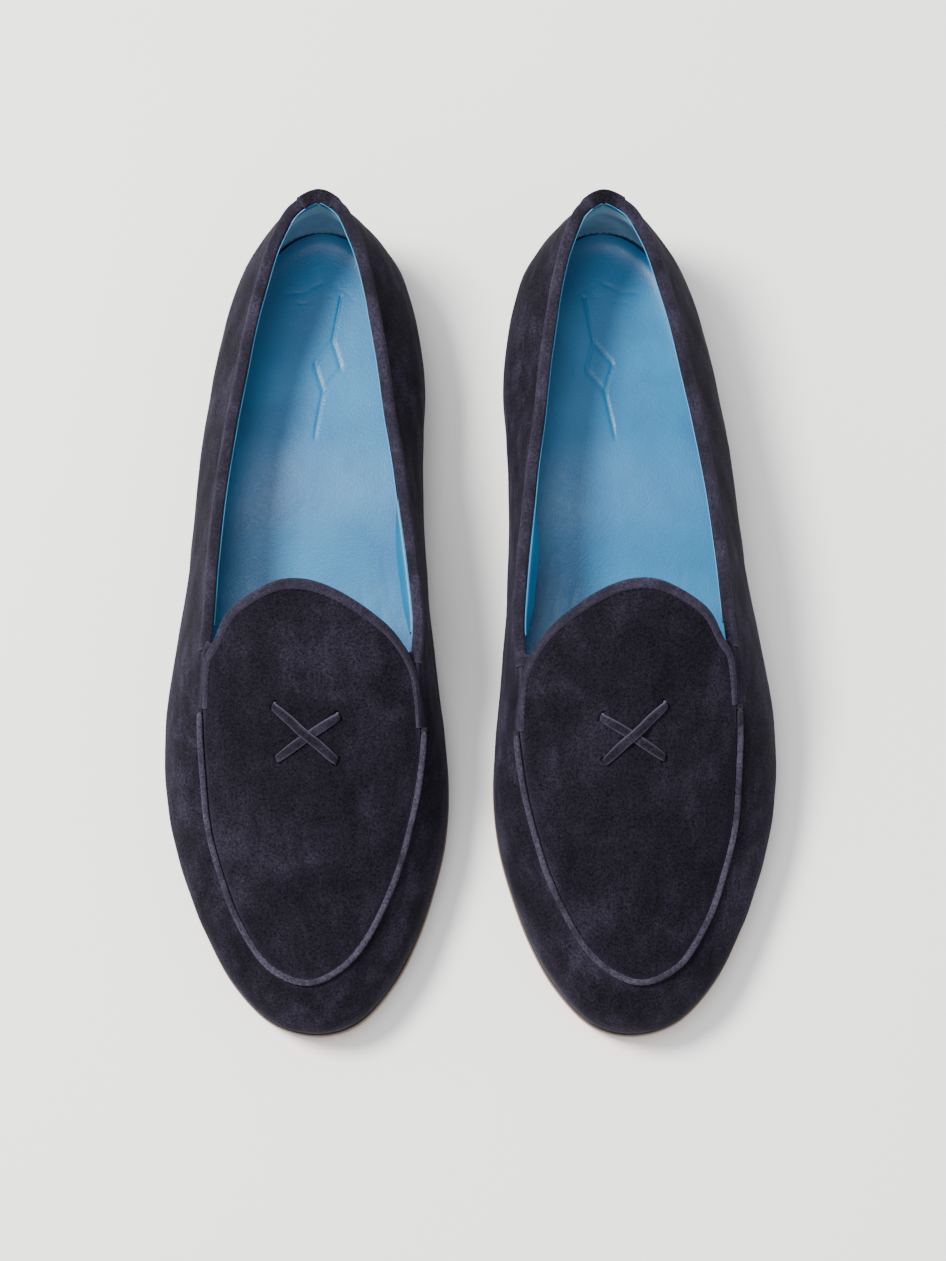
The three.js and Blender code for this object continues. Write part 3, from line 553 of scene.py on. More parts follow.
def nappedSuede(name, look, lighter=0.0):
    # calf suede, sanded and brushed: no gloss, a light bloom on turned faces, cloudy where the nap lies
    # the nap itself is near 0.2 mm and is drawn at 0.8 mm so that it shows
    material, tree, shader, place = blankMaterial(name, {
        "Roughness": 0.95, "IOR": 1.45, "Specular IOR Level": 0.08, "Sheen Weight": 0.05,
        "Sheen Roughness": 0.42, "Sheen Tint": linear("#a9a5c4"), "Diffuse Roughness": 0.6})
    cloud = addNode(tree, "TexNoise", {"Scale": perMm(look["cloud"]), "Detail": 3.0, "Roughness": 0.55,
                                       "Distortion": 0.6}, {"Vector": place})
    brushed = addNode(tree, "Mapping", {"Scale": (1.0, 0.42, 1.0), "Rotation": (0.2, 0.1, 0.35)},
                      {"Vector": place})
    streak = addNode(tree, "TexNoise", {"Scale": perMm(look["brush"]), "Detail": 3.0, "Roughness": 0.6,
                                        "Distortion": 0.5}, {"Vector": brushed.outputs[0]})
    nap = addNode(tree, "TexNoise", {"Scale": perMm(look["nap"]), "Detail": 3.0, "Roughness": 0.7},
                  {"Vector": place})
    lay = addNode(tree, "Mix", {"data_type": "FLOAT", 0: look["mix"]},
                  {2: cloud.outputs["Fac"], 3: streak.outputs["Fac"]})
    tone = addNode(tree, "ValToRGB", {"stops": [
        (0.5 - look["spread"], linear(look["deep"])), (0.5, linear(look["body"])),
        (0.5 + look["spread"], linear(look["raised"]))]}, {0: lay.outputs[0]})
    fleck = addNode(tree, "MapRange", {1: 0.3, 2: 0.7, 3: 1 - look["flecks"], 4: 1 + look["flecks"]},
                    {0: nap.outputs["Fac"]})
    speckled = addNode(tree, "VectorMath", {"operation": "SCALE"}, {0: tone.outputs[0], 3: fleck.outputs[0]})
    worn = addNode(tree, "Attribute", {"attribute_name": "edge"})
    rub = addNode(tree, "Math", {"operation": "MULTIPLY", 1: 0.5}, {0: worn.outputs["Fac"]})
    colour = addNode(tree, "Mix", {"data_type": "RGBA", 7: linear(look["edge"])},
                     {0: rub.outputs[0], 6: speckled.outputs[0]})
    lifted = addNode(tree, "Mix", {"data_type": "RGBA", 0: lighter, 7: linear("#6f6b82")},
                     {6: colour.outputs[2]})
    tree.links.new(lifted.outputs[2], shader.inputs["Base Color"])
    pile = addNode(tree, "Bump", {"Strength": 0.55, "Distance": 0.16 * mm}, {"Height": nap.outputs["Fac"]})
    swell = addNode(tree, "Bump", {"Strength": 0.5, "Distance": 0.5 * mm},
                    {"Height": streak.outputs["Fac"], "Normal": pile.outputs[0]})
    tree.links.new(swell.outputs[0], shader.inputs["Normal"])
    return material


def grainedLeather(name, look):
    # calf, drum dyed and lightly plated: even colour, fine pores, a soft broad gloss
    # pores are near 0.15 mm and are drawn at the size given so that they show
    material, tree, shader, place = blankMaterial(name, {
        "IOR": 1.5, "Specular IOR Level": look["gloss"], "Coat Weight": look.get("coat", 0.0),
        "Coat Roughness": 0.45})
    cloud = addNode(tree, "TexNoise", {"Scale": perMm(look["cloud"]), "Detail": 3.0, "Roughness": 0.5,
                                       "Distortion": 0.4}, {"Vector": place})
    pores = addNode(tree, "TexVoronoi", {"feature": "F1", "Scale": perMm(look["pore"])},
                    {"Vector": place})
    crackle = addNode(tree, "TexNoise", {"Scale": perMm(look["pore"] * 2.6), "Detail": 5.0,
                                         "Roughness": 0.65, "Distortion": 1.4}, {"Vector": place})
    tone = addNode(tree, "ValToRGB", {"stops": [(0.3, linear(look["deep"])), (0.52, linear(look["body"])),
                                                (0.74, linear(look["pale"]))]}, {0: cloud.outputs["Fac"]})
    dot = addNode(tree, "MapRange", {1: 0.0, 2: 0.55, 3: 0.93, 4: 1.03}, {0: pores.outputs["Distance"]})
    dotted = addNode(tree, "VectorMath", {"operation": "SCALE"}, {0: tone.outputs[0], 3: dot.outputs[0]})
    cutEdge = addNode(tree, "Attribute", {"attribute_name": "edge"})
    sharp = addNode(tree, "MapRange", {1: 0.45, 2: 0.95, 3: 0.0, 4: look["edgeShow"]},
                    {0: cutEdge.outputs["Fac"]})
    colour = addNode(tree, "Mix", {"data_type": "RGBA", 7: linear(look["edge"])},
                     {0: sharp.outputs[0], 6: dotted.outputs[0]})
    tree.links.new(colour.outputs[2], shader.inputs["Base Color"])
    dull = addNode(tree, "MapRange", {1: 0.3, 2: 0.7, 3: look["rough"] - 0.07, 4: look["rough"] + 0.08},
                   {0: crackle.outputs["Fac"]})
    tree.links.new(dull.outputs[0], shader.inputs["Roughness"])
    pit = addNode(tree, "Bump", {"Strength": 0.45, "Distance": 0.07 * mm},
                  {"Height": pores.outputs["Distance"]})
    crease = addNode(tree, "Bump", {"Strength": look["grain"], "Distance": 0.12 * mm},
                     {"Height": crackle.outputs["Fac"], "Normal": pit.outputs[0]})
    tree.links.new(crease.outputs[0], shader.inputs["Normal"])
    return material


def layeredStack(name, look):
    # fibrous stock pressed in layers: edges show fine level lines, faces a mottled buff
    material, tree, shader, place = blankMaterial(name, {
        "IOR": 1.5, "Specular IOR Level": look["gloss"], "Coat Weight": look.get("wax", 0.0),
        "Coat Roughness": 0.35})
    flat = addNode(tree, "Mapping", {"Scale": (0.12, 0.12, 1.0)}, {"Vector": place})
    layers = addNode(tree, "TexNoise", {"Scale": perMm(look["layer"]), "Detail": 3.0, "Roughness": 0.6},
                     {"Vector": flat.outputs[0]})
    fibre = addNode(tree, "TexNoise", {"Scale": perMm(look["fibre"]), "Detail": 5.0, "Roughness": 0.7,
                                       "Distortion": 0.8}, {"Vector": place})
    lay = addNode(tree, "Mix", {"data_type": "FLOAT", 0: 0.5},
                  {2: layers.outputs["Fac"], 3: fibre.outputs["Fac"]})
    tone = addNode(tree, "ValToRGB", {"stops": [(0.32, linear(look["deep"])), (0.5, linear(look["body"])),
                                                (0.7, linear(look["pale"]))]}, {0: lay.outputs[0]})
    stained = addNode(tree, "Attribute", {"attribute_name": "edge"})
    ink = addNode(tree, "MapRange", {1: 0.35, 2: 0.9, 3: 0.0, 4: look["edgeShow"]},
                  {0: stained.outputs["Fac"]})
    colour = addNode(tree, "Mix", {"data_type": "RGBA", 7: linear(look["edge"])},
                     {0: ink.outputs[0], 6: tone.outputs[0]})
    tree.links.new(colour.outputs[2], shader.inputs["Base Color"])
    dull = addNode(tree, "MapRange", {1: 0.3, 2: 0.7, 3: look["rough"] - 0.1, 4: look["rough"] + 0.1},
                   {0: fibre.outputs["Fac"]})
    tree.links.new(dull.outputs[0], shader.inputs["Roughness"])
    raised = addNode(tree, "Bump", {"Strength": look["bump"], "Distance": 0.15 * mm},
                     {"Height": lay.outputs[0]})
    tree.links.new(raised.outputs[0], shader.inputs["Normal"])
    return material


def grainyBlock(name, look):
    # moulded or agglomerated stock: cells or granules of one size with darker joints between them
    material, tree, shader, place = blankMaterial(name, {
        "IOR": look["ior"], "Specular IOR Level": look["gloss"]})
    cells = addNode(tree, "TexVoronoi", {"feature": "F1", "Scale": perMm(look["cell"])}, {"Vector": place})
    joints = addNode(tree, "TexVoronoi", {"feature": "DISTANCE_TO_EDGE", "Scale": perMm(look["cell"])},
                     {"Vector": place})
    dust = addNode(tree, "TexNoise", {"Scale": perMm(look["dust"]), "Detail": 4.0, "Roughness": 0.65},
                   {"Vector": place})
    pick = addNode(tree, "SeparateColor", {}, {0: cells.outputs["Color"]})
    tone = addNode(tree, "ValToRGB", {"stops": [(0.0, linear(look["deep"])), (0.5, linear(look["body"])),
                                                (1.0, linear(look["pale"]))]}, {0: pick.outputs[0]})
    gapLine = addNode(tree, "MapRange", {1: 0.0, 2: 0.12, 3: look["joint"], 4: 1.0},
                      {0: joints.outputs["Distance"]})
    shaded = addNode(tree, "VectorMath", {"operation": "SCALE"}, {0: tone.outputs[0], 3: gapLine.outputs[0]})
    dusty = addNode(tree, "MapRange", {1: 0.3, 2: 0.7, 3: 0.86, 4: 1.14}, {0: dust.outputs["Fac"]})
    colour = addNode(tree, "VectorMath", {"operation": "SCALE"}, {0: shaded.outputs[0], 3: dusty.outputs[0]})
    tree.links.new(colour.outputs[0], shader.inputs["Base Color"])
    dull = addNode(tree, "MapRange", {1: 0.3, 2: 0.7, 3: look["rough"] - 0.08, 4: look["rough"] + 0.08},
                   {0: dust.outputs["Fac"]})
    tree.links.new(dull.outputs[0], shader.inputs["Roughness"])
    raised = addNode(tree, "Bump", {"Strength": look["bump"], "Distance": 0.1 * mm},
                     {"Height": gapLine.outputs[0]})
    rough = addNode(tree, "Bump", {"Strength": 0.3, "Distance": 0.06 * mm},
                    {"Height": dust.outputs["Fac"], "Normal": raised.outputs[0]})
    tree.links.new(rough.outputs[0], shader.inputs["Normal"])
    return material


def drawnMetal(name, look):
    # drawn or rolled stock: fine scratches one way, slightly uneven shine
    material, tree, shader, place = blankMaterial(name, {"Metallic": 1.0})
    pulled = addNode(tree, "Mapping", {"Scale": (1.0, 0.06, 1.0)}, {"Vector": place})
    scratch = addNode(tree, "TexNoise", {"Scale": perMm(look["line"]), "Detail": 4.0, "Roughness": 0.6},
                      {"Vector": pulled.outputs[0]})
    tarnish = addNode(tree, "TexNoise", {"Scale": perMm(4.0), "Detail": 3.0}, {"Vector": place})
    tone = addNode(tree, "ValToRGB", {"stops": [(0.35, linear(look["deep"])), (0.65, linear(look["body"]))]},
                   {0: tarnish.outputs["Fac"]})
    tree.links.new(tone.outputs[0], shader.inputs["Base Color"])
    dull = addNode(tree, "MapRange", {1: 0.3, 2: 0.7, 3: look["rough"] - 0.08, 4: look["rough"] + 0.1},
                   {0: scratch.outputs["Fac"]})
    tree.links.new(dull.outputs[0], shader.inputs["Roughness"])
    raised = addNode(tree, "Bump", {"Strength": 0.3, "Distance": 0.02 * mm},
                     {"Height": scratch.outputs["Fac"]})
    tree.links.new(raised.outputs[0], shader.inputs["Normal"])
    return material


def twistedThread(name, look):
    # waxed polyester thread, two plies: a fine slant twist and a slight shine
    material, tree, shader, place = blankMaterial(name, {
        "Roughness": 0.6, "IOR": 1.5, "Specular IOR Level": look["gloss"], "Sheen Weight": look["fuzz"],
        "Sheen Tint": linear("#9c98b4")})
    ply = addNode(tree, "TexWave", {"wave_type": "BANDS", "bands_direction": "DIAGONAL",
                                    "Scale": perMm(look["twist"]) / 6.3, "Distortion": 1.2, "Detail": 2.0},
                  {"Vector": place})
    tone = addNode(tree, "ValToRGB", {"stops": [(0.2, linear(look["deep"])), (0.8, linear(look["body"]))]},
                   {0: ply.outputs["Fac"]})
    tree.links.new(tone.outputs[0], shader.inputs["Base Color"])
    raised = addNode(tree, "Bump", {"Strength": 0.5, "Distance": 0.06 * mm}, {"Height": ply.outputs["Fac"]})
    tree.links.new(raised.outputs[0], shader.inputs["Normal"])
    return material


suede = nappedSuede("calf_suede_brushed", napped)
wrapSuede = nappedSuede("calf_suede_brushed_both_ways", {
    **napped, "deep": "#0b090f", "body": "#16131c", "raised": "#25212e", "cloud": 22, "mix": 0.42})
edgeSuede = nappedSuede("calf_suede_rolled_strip", {**napped, "body": "#1d1a25", "raised": "#2b2736",
                                                    "cloud": 14, "brush": 3.0}, 0.04)
# a lighter copy of the suede: its lighter body and raised tones and its lift are painted highlight, for the
# light that the rounded cord catches on top
pipingSuede = nappedSuede("calf_suede_skived_over_cord", {**napped, "body": "#2b2834", "raised": "#3a3645",
                                                          "cloud": 14, "brush": 3.0}, 0.05)
strapSuede = nappedSuede("calf_suede_cut_strip", {**napped, "body": "#18151e", "raised": "#26222f",
                                                  "cloud": 9, "edge": "#5e5a70"}, 0.01)
liningCalf = grainedLeather("lining_calf_plated", {
    "deep": "#0f5885", "body": "#166591", "pale": "#1f6e99", "edge": "#4a8bad", "edgeShow": 0.4,
    "cloud": 34, "pore": 0.7, "gloss": 0.30, "rough": 0.38, "grain": 0.4, "coat": 0.04})
# the grip's pale grey-blue is partly its own buffed tone and partly painted light: it is made paler for the
# light that falls on it inside the heel
gripCalf = grainedLeather("heel_grip_calf_buffed_painted_light", {
    "deep": "#6f93a6", "body": "#7fa3b5", "pale": "#93b4c3", "edge": "#2a4b5c", "edgeShow": 0.6,
    "cloud": 12, "pore": 0.45, "gloss": 0.2, "rough": 0.72, "grain": 0.35})
soleHide = layeredStack("sole_hide_bark_tanned", {
    "deep": "#84592f", "body": "#ad7b4d", "pale": "#c49767", "edge": "#4a3426", "edgeShow": 0.85,
    "layer": 0.5, "fibre": 1.2, "gloss": 0.45, "rough": 0.5, "bump": 0.4, "wax": 0.15})
heelStack = layeredStack("heel_lifts_hide_waxed", {
    "deep": "#3a291f", "body": "#4d3729", "pale": "#614736", "edge": "#2c2019", "edgeShow": 0.5,
    "layer": 0.45, "fibre": 1.0, "gloss": 0.5, "rough": 0.4, "bump": 0.35, "wax": 0.3})
randHide = grainedLeather("rand_hide_dyed_waxed", {
    "deep": "#0e0c0e", "body": "#151214", "pale": "#1f1b1d", "edge": "#2a2220", "edgeShow": 0.5,
    "cloud": 9, "pore": 0.5, "gloss": 0.3, "rough": 0.55, "grain": 0.3, "coat": 0.05})
topRubber = grainyBlock("heel_rubber_moulded", {
    "deep": "#171618", "body": "#1e1d1f", "pale": "#272628", "cell": 1.6, "dust": 0.5, "joint": 0.75,
    "gloss": 0.4, "rough": 0.72, "bump": 0.5, "ior": 1.52})
corkFill = grainyBlock("cork_granules_bound", {
    "deep": "#7a5330", "body": "#a67a4a", "pale": "#c39a68", "cell": 1.8, "dust": 0.6, "joint": 0.55,
    "gloss": 0.2, "rough": 0.85, "bump": 0.7, "ior": 1.45})
padFoam = grainyBlock("latex_foam_moulded", {
    "deep": "#cbc4b2", "body": "#d9d3c3", "pale": "#e4dfd2", "cell": 0.8, "dust": 0.4, "joint": 0.7,
    "gloss": 0.2, "rough": 0.9, "bump": 0.7, "ior": 1.45})
fibreBoard = layeredStack("fibre_board_pressed", {
    "deep": "#8c7053", "body": "#a98b6b", "pale": "#bfa384", "edge": "#7b6147", "edgeShow": 0.3,
    "layer": 0.35, "fibre": 1.4, "gloss": 0.25, "rough": 0.85, "bump": 0.5})
shankSteel = drawnMetal("shank_steel_rolled", {"deep": "#7e8287", "body": "#a2a6ab", "line": 0.25,
                                               "rough": 0.38})
pinBrass = drawnMetal("pin_brass_drawn", {"deep": "#a07d34", "body": "#c9a452", "line": 0.2, "rough": 0.3})
seamThread = twistedThread("polyester_thread_waxed", {"deep": "#100e15", "body": "#1c1923", "twist": 0.35,
                                                     "gloss": 0.2, "fuzz": 0.04})
soleThread = twistedThread("linen_thread_waxed", {"deep": "#8a6c48", "body": "#c9ab7e", "twist": 0.5,
                                                  "gloss": 0.4, "fuzz": 0.15})
gripThread = twistedThread("blue_thread_waxed", {"deep": "#2d566d", "body": "#3f7391", "twist": 0.35,
                                                 "gloss": 0.4, "fuzz": 0.15})
print("materials ready")

# wrap: one strip of suede round the foot

wrapLook = {"along": 460, "rows": 46, "backSlit": 0.0006, "seamRoll": 0.55, "swell": 0.14,
            "gather": 0.05, "gatherPitch": 3.1, "round": 690, "footBend": 0.16}


def wrapShape(look):
    s = np.linspace(look["backSlit"], 1 - look["backSlit"], look["along"])
    t = np.concatenate([np.linspace(0, 0.1, 5)[:-1], np.linspace(0.1, 0.93, look["rows"] - 11),
                        np.linspace(0.93, 1, 8)[1:]])
    around, rise = np.meshgrid(s, t, indexing="ij")
    outer, inner = wall(around, rise, 0.0), wall(around, rise, last["upper"])
    marginPlan = inside(s, station(s)[:, 2] + last["margin"])
    under = np.concatenate([marginPlan, feather(marginPlan[:, 1])[:, None]], 1)
    corner = wallRaw(s, 0 * s)
    corner[:, :2] -= outward(s) * last["upper"]
    corner[:, 2] += last["upper"]
    low = (rise < look["footBend"])[..., None]
    blend = (rise / look["footBend"])[..., None]
    foot = wall(s, 0 * s + look["footBend"], last["upper"])
    inner = np.where(low, mixed(corner[:, None], foot[:, None], blend), inner)
    # the edge rolls down beside the piping, and the face swells a little where it was pulled over
    drop = np.linalg.norm(outer - outer[:, -1:], axis=-1)
    seam = eased(joinOuter - 0.004, joinOuter + 0.004, around)
    seam = seam * (1 - eased(joinInner - 0.004, joinInner + 0.004, around))
    n = wallNormal(around, rise)
    gather = look["gather"] * np.sin(s * look["round"] / look["gatherPitch"] * 2 * math.pi)[:, None]
    gather = gather * eased(0.30, 0.42, around) * (1 - eased(0.58, 0.7, around))
    roll = -look["seamRoll"] * np.exp(-(drop / 1.5) ** 2)
    relief = (roll + 0.16 * np.exp(-((drop - 3.0) / 1.6) ** 2)) * seam
    relief += gather * np.exp(-drop / 4.0) + look["swell"] * softNoise(outer, 12, 21) * eased(0.1, 0.3, rise)
    outer = outer + n * relief[..., None]
    inner = inner + n * (np.minimum(relief, 0) * eased(0.2, 0.4, rise))[..., None]
    steps = np.array([0, 0.34, 0.67])[None, :, None]
    outer = np.concatenate([mixed(under[:, None], outer[:, :1], steps), outer], 1)
    up = under + np.array([0, 0, last["upper"]])
    inner = np.concatenate([mixed(up[:, None], inner[:, :1], steps), inner], 1)
    return skin(outer, inner, 0.25)


makePair("side_wrap", wrapShape(wrapLook), wrapSuede)
print("wrap made")

# linings, counter, puff and heel grip

liningLook = {"along": 260, "rows": 34}


def behindWall(s0, s1, bottom, top, near, thick, along, rows, cut=0.3):
    s = np.linspace(s0, s1, along)
    t = mixed(bottom(s)[:, None], top(s)[:, None], np.linspace(0, 1, rows)[None, :])
    around = np.broadcast_to(s[:, None], t.shape)
    depth = near(around, t)
    return skin(wall(around, t, depth), wall(around, t, depth + thick), cut)


def footT(s):
    return tAt(s, boardTop(inside(s, 5 + 0 * s)[:, 1]) + clearance)


full = lambda s: np.ones_like(s)
for part, s0, s1, top in (("quarter_lining_lateral", 0.0008, joinOuter - 0.001, full),
                          ("quarter_lining_medial", joinInner + 0.001, 0.9992, full),
                          ("toe_lining", joinOuter + 0.001, joinInner - 0.001, lambda s: tDown(s, 3.6))):
    makePair(part, behindWall(s0, s1, footT, top, liningDepth, last["lining"], liningLook["along"],
                              liningLook["rows"]), liningCalf)
for part, s0, s1, thick in (("heel_counter", -0.135, 0.135, last["counter"]),
                            ("toe_puff", 0.41, 0.59, last["puff"])):
    makePair(part, behindWall(s0, s1, footT, lambda s: 0 * s + 0.72,
                              lambda s, t: last["upper"] + clearance + 0 * t, thick, 120, 18),
             fibreBoard)

gripLook = {"half": 0.083, "low": 25.5, "rise": 90, "topDrop": 4.0, "stitch": 2.4}


def gripShape(look):
    return behindWall(-look["half"], look["half"],
                      lambda s: tAt(s, look["low"] + look["rise"] * np.abs(s)),
                      lambda s: tDown(s, look["topDrop"]),
                      lambda s, t: liningDepth(s, t) + last["lining"] + clearance * 0.4,
                      last["lining"], 170, 40, 0.35)


makePair("heel_grip", gripShape(gripLook), gripCalf)
print("linings made")

# apron and tongue

apronLook = {"round": 460, "rings": 40, "edgeRoll": 0.5, "pucker": 0.34, "swell": 0.12}
straps = {"cross_strap_over": {"from": (-13.3, -40.0), "to": (8.1, -58.3), "hump": 1.25, "twist": 1},
          "cross_strap_under": {"from": (8.9, -43.6), "to": (-12.1, -57.1), "hump": 0.0, "twist": -1}}
strapLook = {"width": 3.3, "thick": 1.1, "crossing": (-2.9, -49.6), "slit": 4.2}


def apronSpine(f):
    rim = rimAt(f)
    y = np.clip(rim[:, 1], -106, -30)
    return np.stack([mixed(-1.2, -3.0, (y + 106) / 76), y], -1)


def apronGrid(f, shares, inset):
    return mixed(apronSpine(f)[:, None], rimInset(f, inset)[:, None], shares[None, :, None])


def slitEnds():
    for strap in straps.values():
        a, b = np.array(strap["from"], float), np.array(strap["to"], float)
        way = unit(b - a)
        yield a, way
        yield b, -way


def apronShape(look):
    f = np.arange(look["round"]) / look["round"] * rimCount
    shares = 1 - (1 - np.linspace(0, 1, look["rings"])) ** 1.25
    plan = apronGrid(f, shares, 0.0)
    top = onCrown(plan, np.zeros(plan.shape[:2]))
    below = onCrown(plan, np.full(plan.shape[:2], last["upper"]))
    n = crownNormal(plan[..., 0], plan[..., 1])
    fromRim = np.linalg.norm(plan - plan[:, -1:], axis=-1)
    seam = (1 - bound(f))[:, None]
    roll = -look["edgeRoll"] * np.exp(-(fromRim / 1.3) ** 2)
    relief = (roll + 0.14 * np.exp(-((fromRim - 2.8) / 1.5) ** 2)) * seam
    relief += look["swell"] * softNoise(top, 15, 31) * eased(1.5, 6, fromRim)
    for end, way in slitEnds():
        offset = plan - end
        along, across = offset @ way, offset @ np.array([-way[1], way[0]])
        mound = np.exp(-((np.abs(along + 0.5) - 1.9) / 1.1) ** 2 - (across / 2.5) ** 2)
        dip = np.exp(-((along + 0.4) / 1.0) ** 2 - (across / 2.6) ** 2)
        relief += look["pucker"] * mound - 0.3 * dip - 0.12 * np.exp(-(offset ** 2).sum(-1) / 36)
    top = top + n * relief[..., None]
    below = below + n * (relief * 0.6)[..., None]
    # spine first, so the rounded cut edge is at the rim
    points, faces, edge = skin(top, below, 0.3, closed=True, first=False)
    across = 2 * look["rings"] + 6
    keep = np.ones(across, bool)
    keep[2 * look["rings"] + 3:] = False      # no edge is wanted along the spine
    shut = [q[keep[q % across].all(1)] for q in faces]
    run = np.arange(len(points)) % across
    edge = np.where((run < look["rings"] // 2) | (run > across - 3 - look["rings"] // 2 - 3), 0.0, edge)
    return points, shut, edge


def slitTool(end, way, half, wide, corners=20):
    # a lens-shaped plug from above the suede to near its underside
    a = np.arange(corners) / corners * 2 * math.pi
    side = np.array([-way[1], way[0]])
    lens = np.abs(np.cos(a)) ** 0.5 * np.sign(np.cos(a)) * half
    plan = end - way * 0.35 + lens[:, None] * side + (np.sin(a) * wide)[:, None] * way
    rings = np.stack([onCrown(plan, np.full(corners, depth)) for depth in (1.05, -2.5)])
    ends = [np.arange(corners)[None, ::-1], np.arange(corners)[None] + corners]
    return rings.reshape(-1, 3), [ringFaces(2, corners, False), *ends], np.zeros(2 * corners)


makePair("apron", apronShape(apronLook), suede, weld=True)
for side in ("right", "left"):
    carve("apron", side, [(settle(p), fs, e) for p, fs, e in
                          (slitTool(end, way, strapLook["slit"] / 2, 0.8) for end, way in slitEnds())])


def apronLiningShape(around=300, rings=24):
    f = np.arange(around) / around * rimCount
    plan = apronGrid(f, np.linspace(0, 1, rings), 2.1 + 0.4 * (1 - bound(f)))
    depth = last["upper"] + clearance
    top = onCrown(plan, np.full(plan.shape[:2], depth))
    below = onCrown(plan, np.full(plan.shape[:2], depth + last["lining"]))
    points, faces, edge = skin(top, below, 0.3, closed=True, first=False)
    across = 2 * rings + 6
    shut = [q[(q % across < across - 3).all(1)] for q in faces]
    return points, shut, np.where(np.arange(len(points)) % across < rings // 2, 0, edge)


makePair("apron_lining", apronLiningShape(), liningCalf, weld=True)
print("apron made")

# piping: suede over a cord, set in the seam

tackGap = 0.035                     # from a bar tack to each neighbour's end, in steps of the rim
pipingLook = {"radius": 1.1, "rings": 520, "sides": 16, "sink": 0.28, "skirt": 0.8, "gather": 0.05}


def pipingShape(look):
    f = np.linspace(boundTo + tackGap - rimCount, boundFrom - tackGap, look["rings"])
    at, _, up, side = seamFrame(f)
    a = np.arange(look["sides"]) / look["sides"] * 2 * math.pi
    run = runAlong(at)
    centre = at + up * (look["radius"] + clearance + 0.1 - look["sink"])
    gathers = look["gather"] * np.sin(run / 2.9 * 2 * math.pi + 2 * softNoise(at, 14, 42))
    ripple = 1 + 0.025 * softNoise(at, 9, 41) + gathers * (0.35 + 0.65 * eased(-90, -120, at[:, 1]))
    nearEnd = np.exp(-np.minimum(run, run[-1] - run) / 0.7)
    radius = look["radius"] * ripple[:, None] * (1 - 0.5 * nearEnd)[:, None]
    droop = look["skirt"] * np.maximum(0, -np.cos(a)) ** 7
    rings = centre[:, None] + up[:, None] * (np.cos(a) * radius - droop)[..., None] \
        + side[:, None] * (np.sin(a) * radius * 0.97)[..., None]
    return sweep(rings)


makePair("apron_piping", pipingShape(pipingLook), pipingSuede)

# bindings folded over the edges

bindLook = {"leather": 0.5, "reach": 2.8, "tongueReach": 2.8, "tongueEnd": 2.0, "belly": 0.3,
            "stitch": 2.3}


def foldLines(front, back, stack, belly, points=9, lift=clearance):
    # (out, up) lines of the strip's outer and inner face: over the front, round the edge, down the back
    leather = bindLook["leather"]
    shoulder, half = 0.9, stack / 2 + lift
    legs = []
    for extra, puff in ((leather, belly), (0.0, 0.0)):
        u = np.linspace(0, 1, points)
        legOut = -front + (front - shoulder) * u
        press = 1 - 0.75 * (1 - u) ** 2.5
        plump = puff * np.sin(math.pi * np.clip(u, 0, 1)) ** 1.3
        legUp = lift * mixed(0.3, 1, np.minimum(1, u * 2.2)) + extra * press + plump
        a = np.linspace(math.pi / 2, -math.pi / 2, 13)[1:-1]
        wide, high = shoulder + 0.45 * lift + extra, half + extra
        power = 0.82
        rollOut = -shoulder + np.abs(np.cos(a)) ** power * wide
        rollUp = -stack / 2 + np.sign(np.sin(a)) * np.abs(np.sin(a)) ** power * high
        backOut = -shoulder - (back - shoulder) * u
        backUp = -stack - lift - extra * mixed(1, 0.35, u ** 2.5)
        legs.append(np.stack([np.concatenate([legOut, rollOut, backOut]),
                              np.concatenate([legUp, rollUp, backUp])], -1))
    return legs


def tongueBindingShape(look):
    f = np.linspace(boundFrom + tackGap, boundTo - tackGap, 330)
    plan = rimInset(f)
    at = onCrown(plan, 0 * f)
    tangent = unit(onCrown(rimInset(f + 0.03), 0 * f) - onCrown(rimInset(f - 0.03), 0 * f))
    n = crownNormal(plan[:, 0], plan[:, 1])
    o = unit(np.cross(tangent, n))
    o *= -np.sign(np.einsum("ij,ij->i", o[:, :2], rimInward(f)))[:, None]
    middle = np.sin(math.pi * np.linspace(0, 1, len(f)))
    outer, inner = [], []
    wrinkle = 1 + 0.3 * softNoise(at, 5, 51)
    for k in range(len(f)):
        a, b = foldLines(mixed(look["tongueEnd"], look["tongueReach"], middle[k] ** 0.6), 3.2,
                         last["upper"] + clearance + last["lining"], look["belly"] * wrinkle[k])
        outer.append(at[k] + o[k] * a[:, :1] + n[k] * a[:, 1:])
        inner.append(at[k] + o[k] * b[:, :1] + n[k] * b[:, 1:])
    return skin(np.array(outer), np.array(inner), 0.25)


longReach = 6.0                     # mm; a strip that reaches further down bends with the wall


def toplineShape(s0, s1, along, reach, backReach, belly=0.16, lift=clearance):
    s = np.linspace(s0, s1, along)
    top, n = wallRaw(s, full(s)), wallNormal(s, full(s))
    up = unit(top - wallRaw(s, full(s) * 0.96))
    stack = last["upper"] + clearance + last["lining"]
    reach = np.broadcast_to(reach, s.shape)
    outer, inner = [], []
    wrinkle = 1 + 0.4 * softNoise(top, 7, 52)
    for k in range(along):
        faces = foldLines(reach[k], backReach, stack, belly * wrinkle[k],
                          9 if reach[k] < longReach else 22, lift)
        for line, store in zip(faces, (outer, inner)):
            at = top[k] + up[k] * line[:, :1] + n[k] * line[:, 1:]
            if reach[k] >= longReach:
                # a long outer leg follows the wall
                deep = tDown(np.full(len(line), s[k]), np.maximum(0, -line[:, 0]))
                follow = wall(np.full(len(line), s[k]), deep, -line[:, 1])
                share = eased(-0.9, -2.5, line[:, 0])[:, None] * (line[:, 1] > -0.5)[:, None]
                at = mixed(at, follow, share)
            store.append(at)
    return skin(np.array(outer), np.array(inner), 0.25)


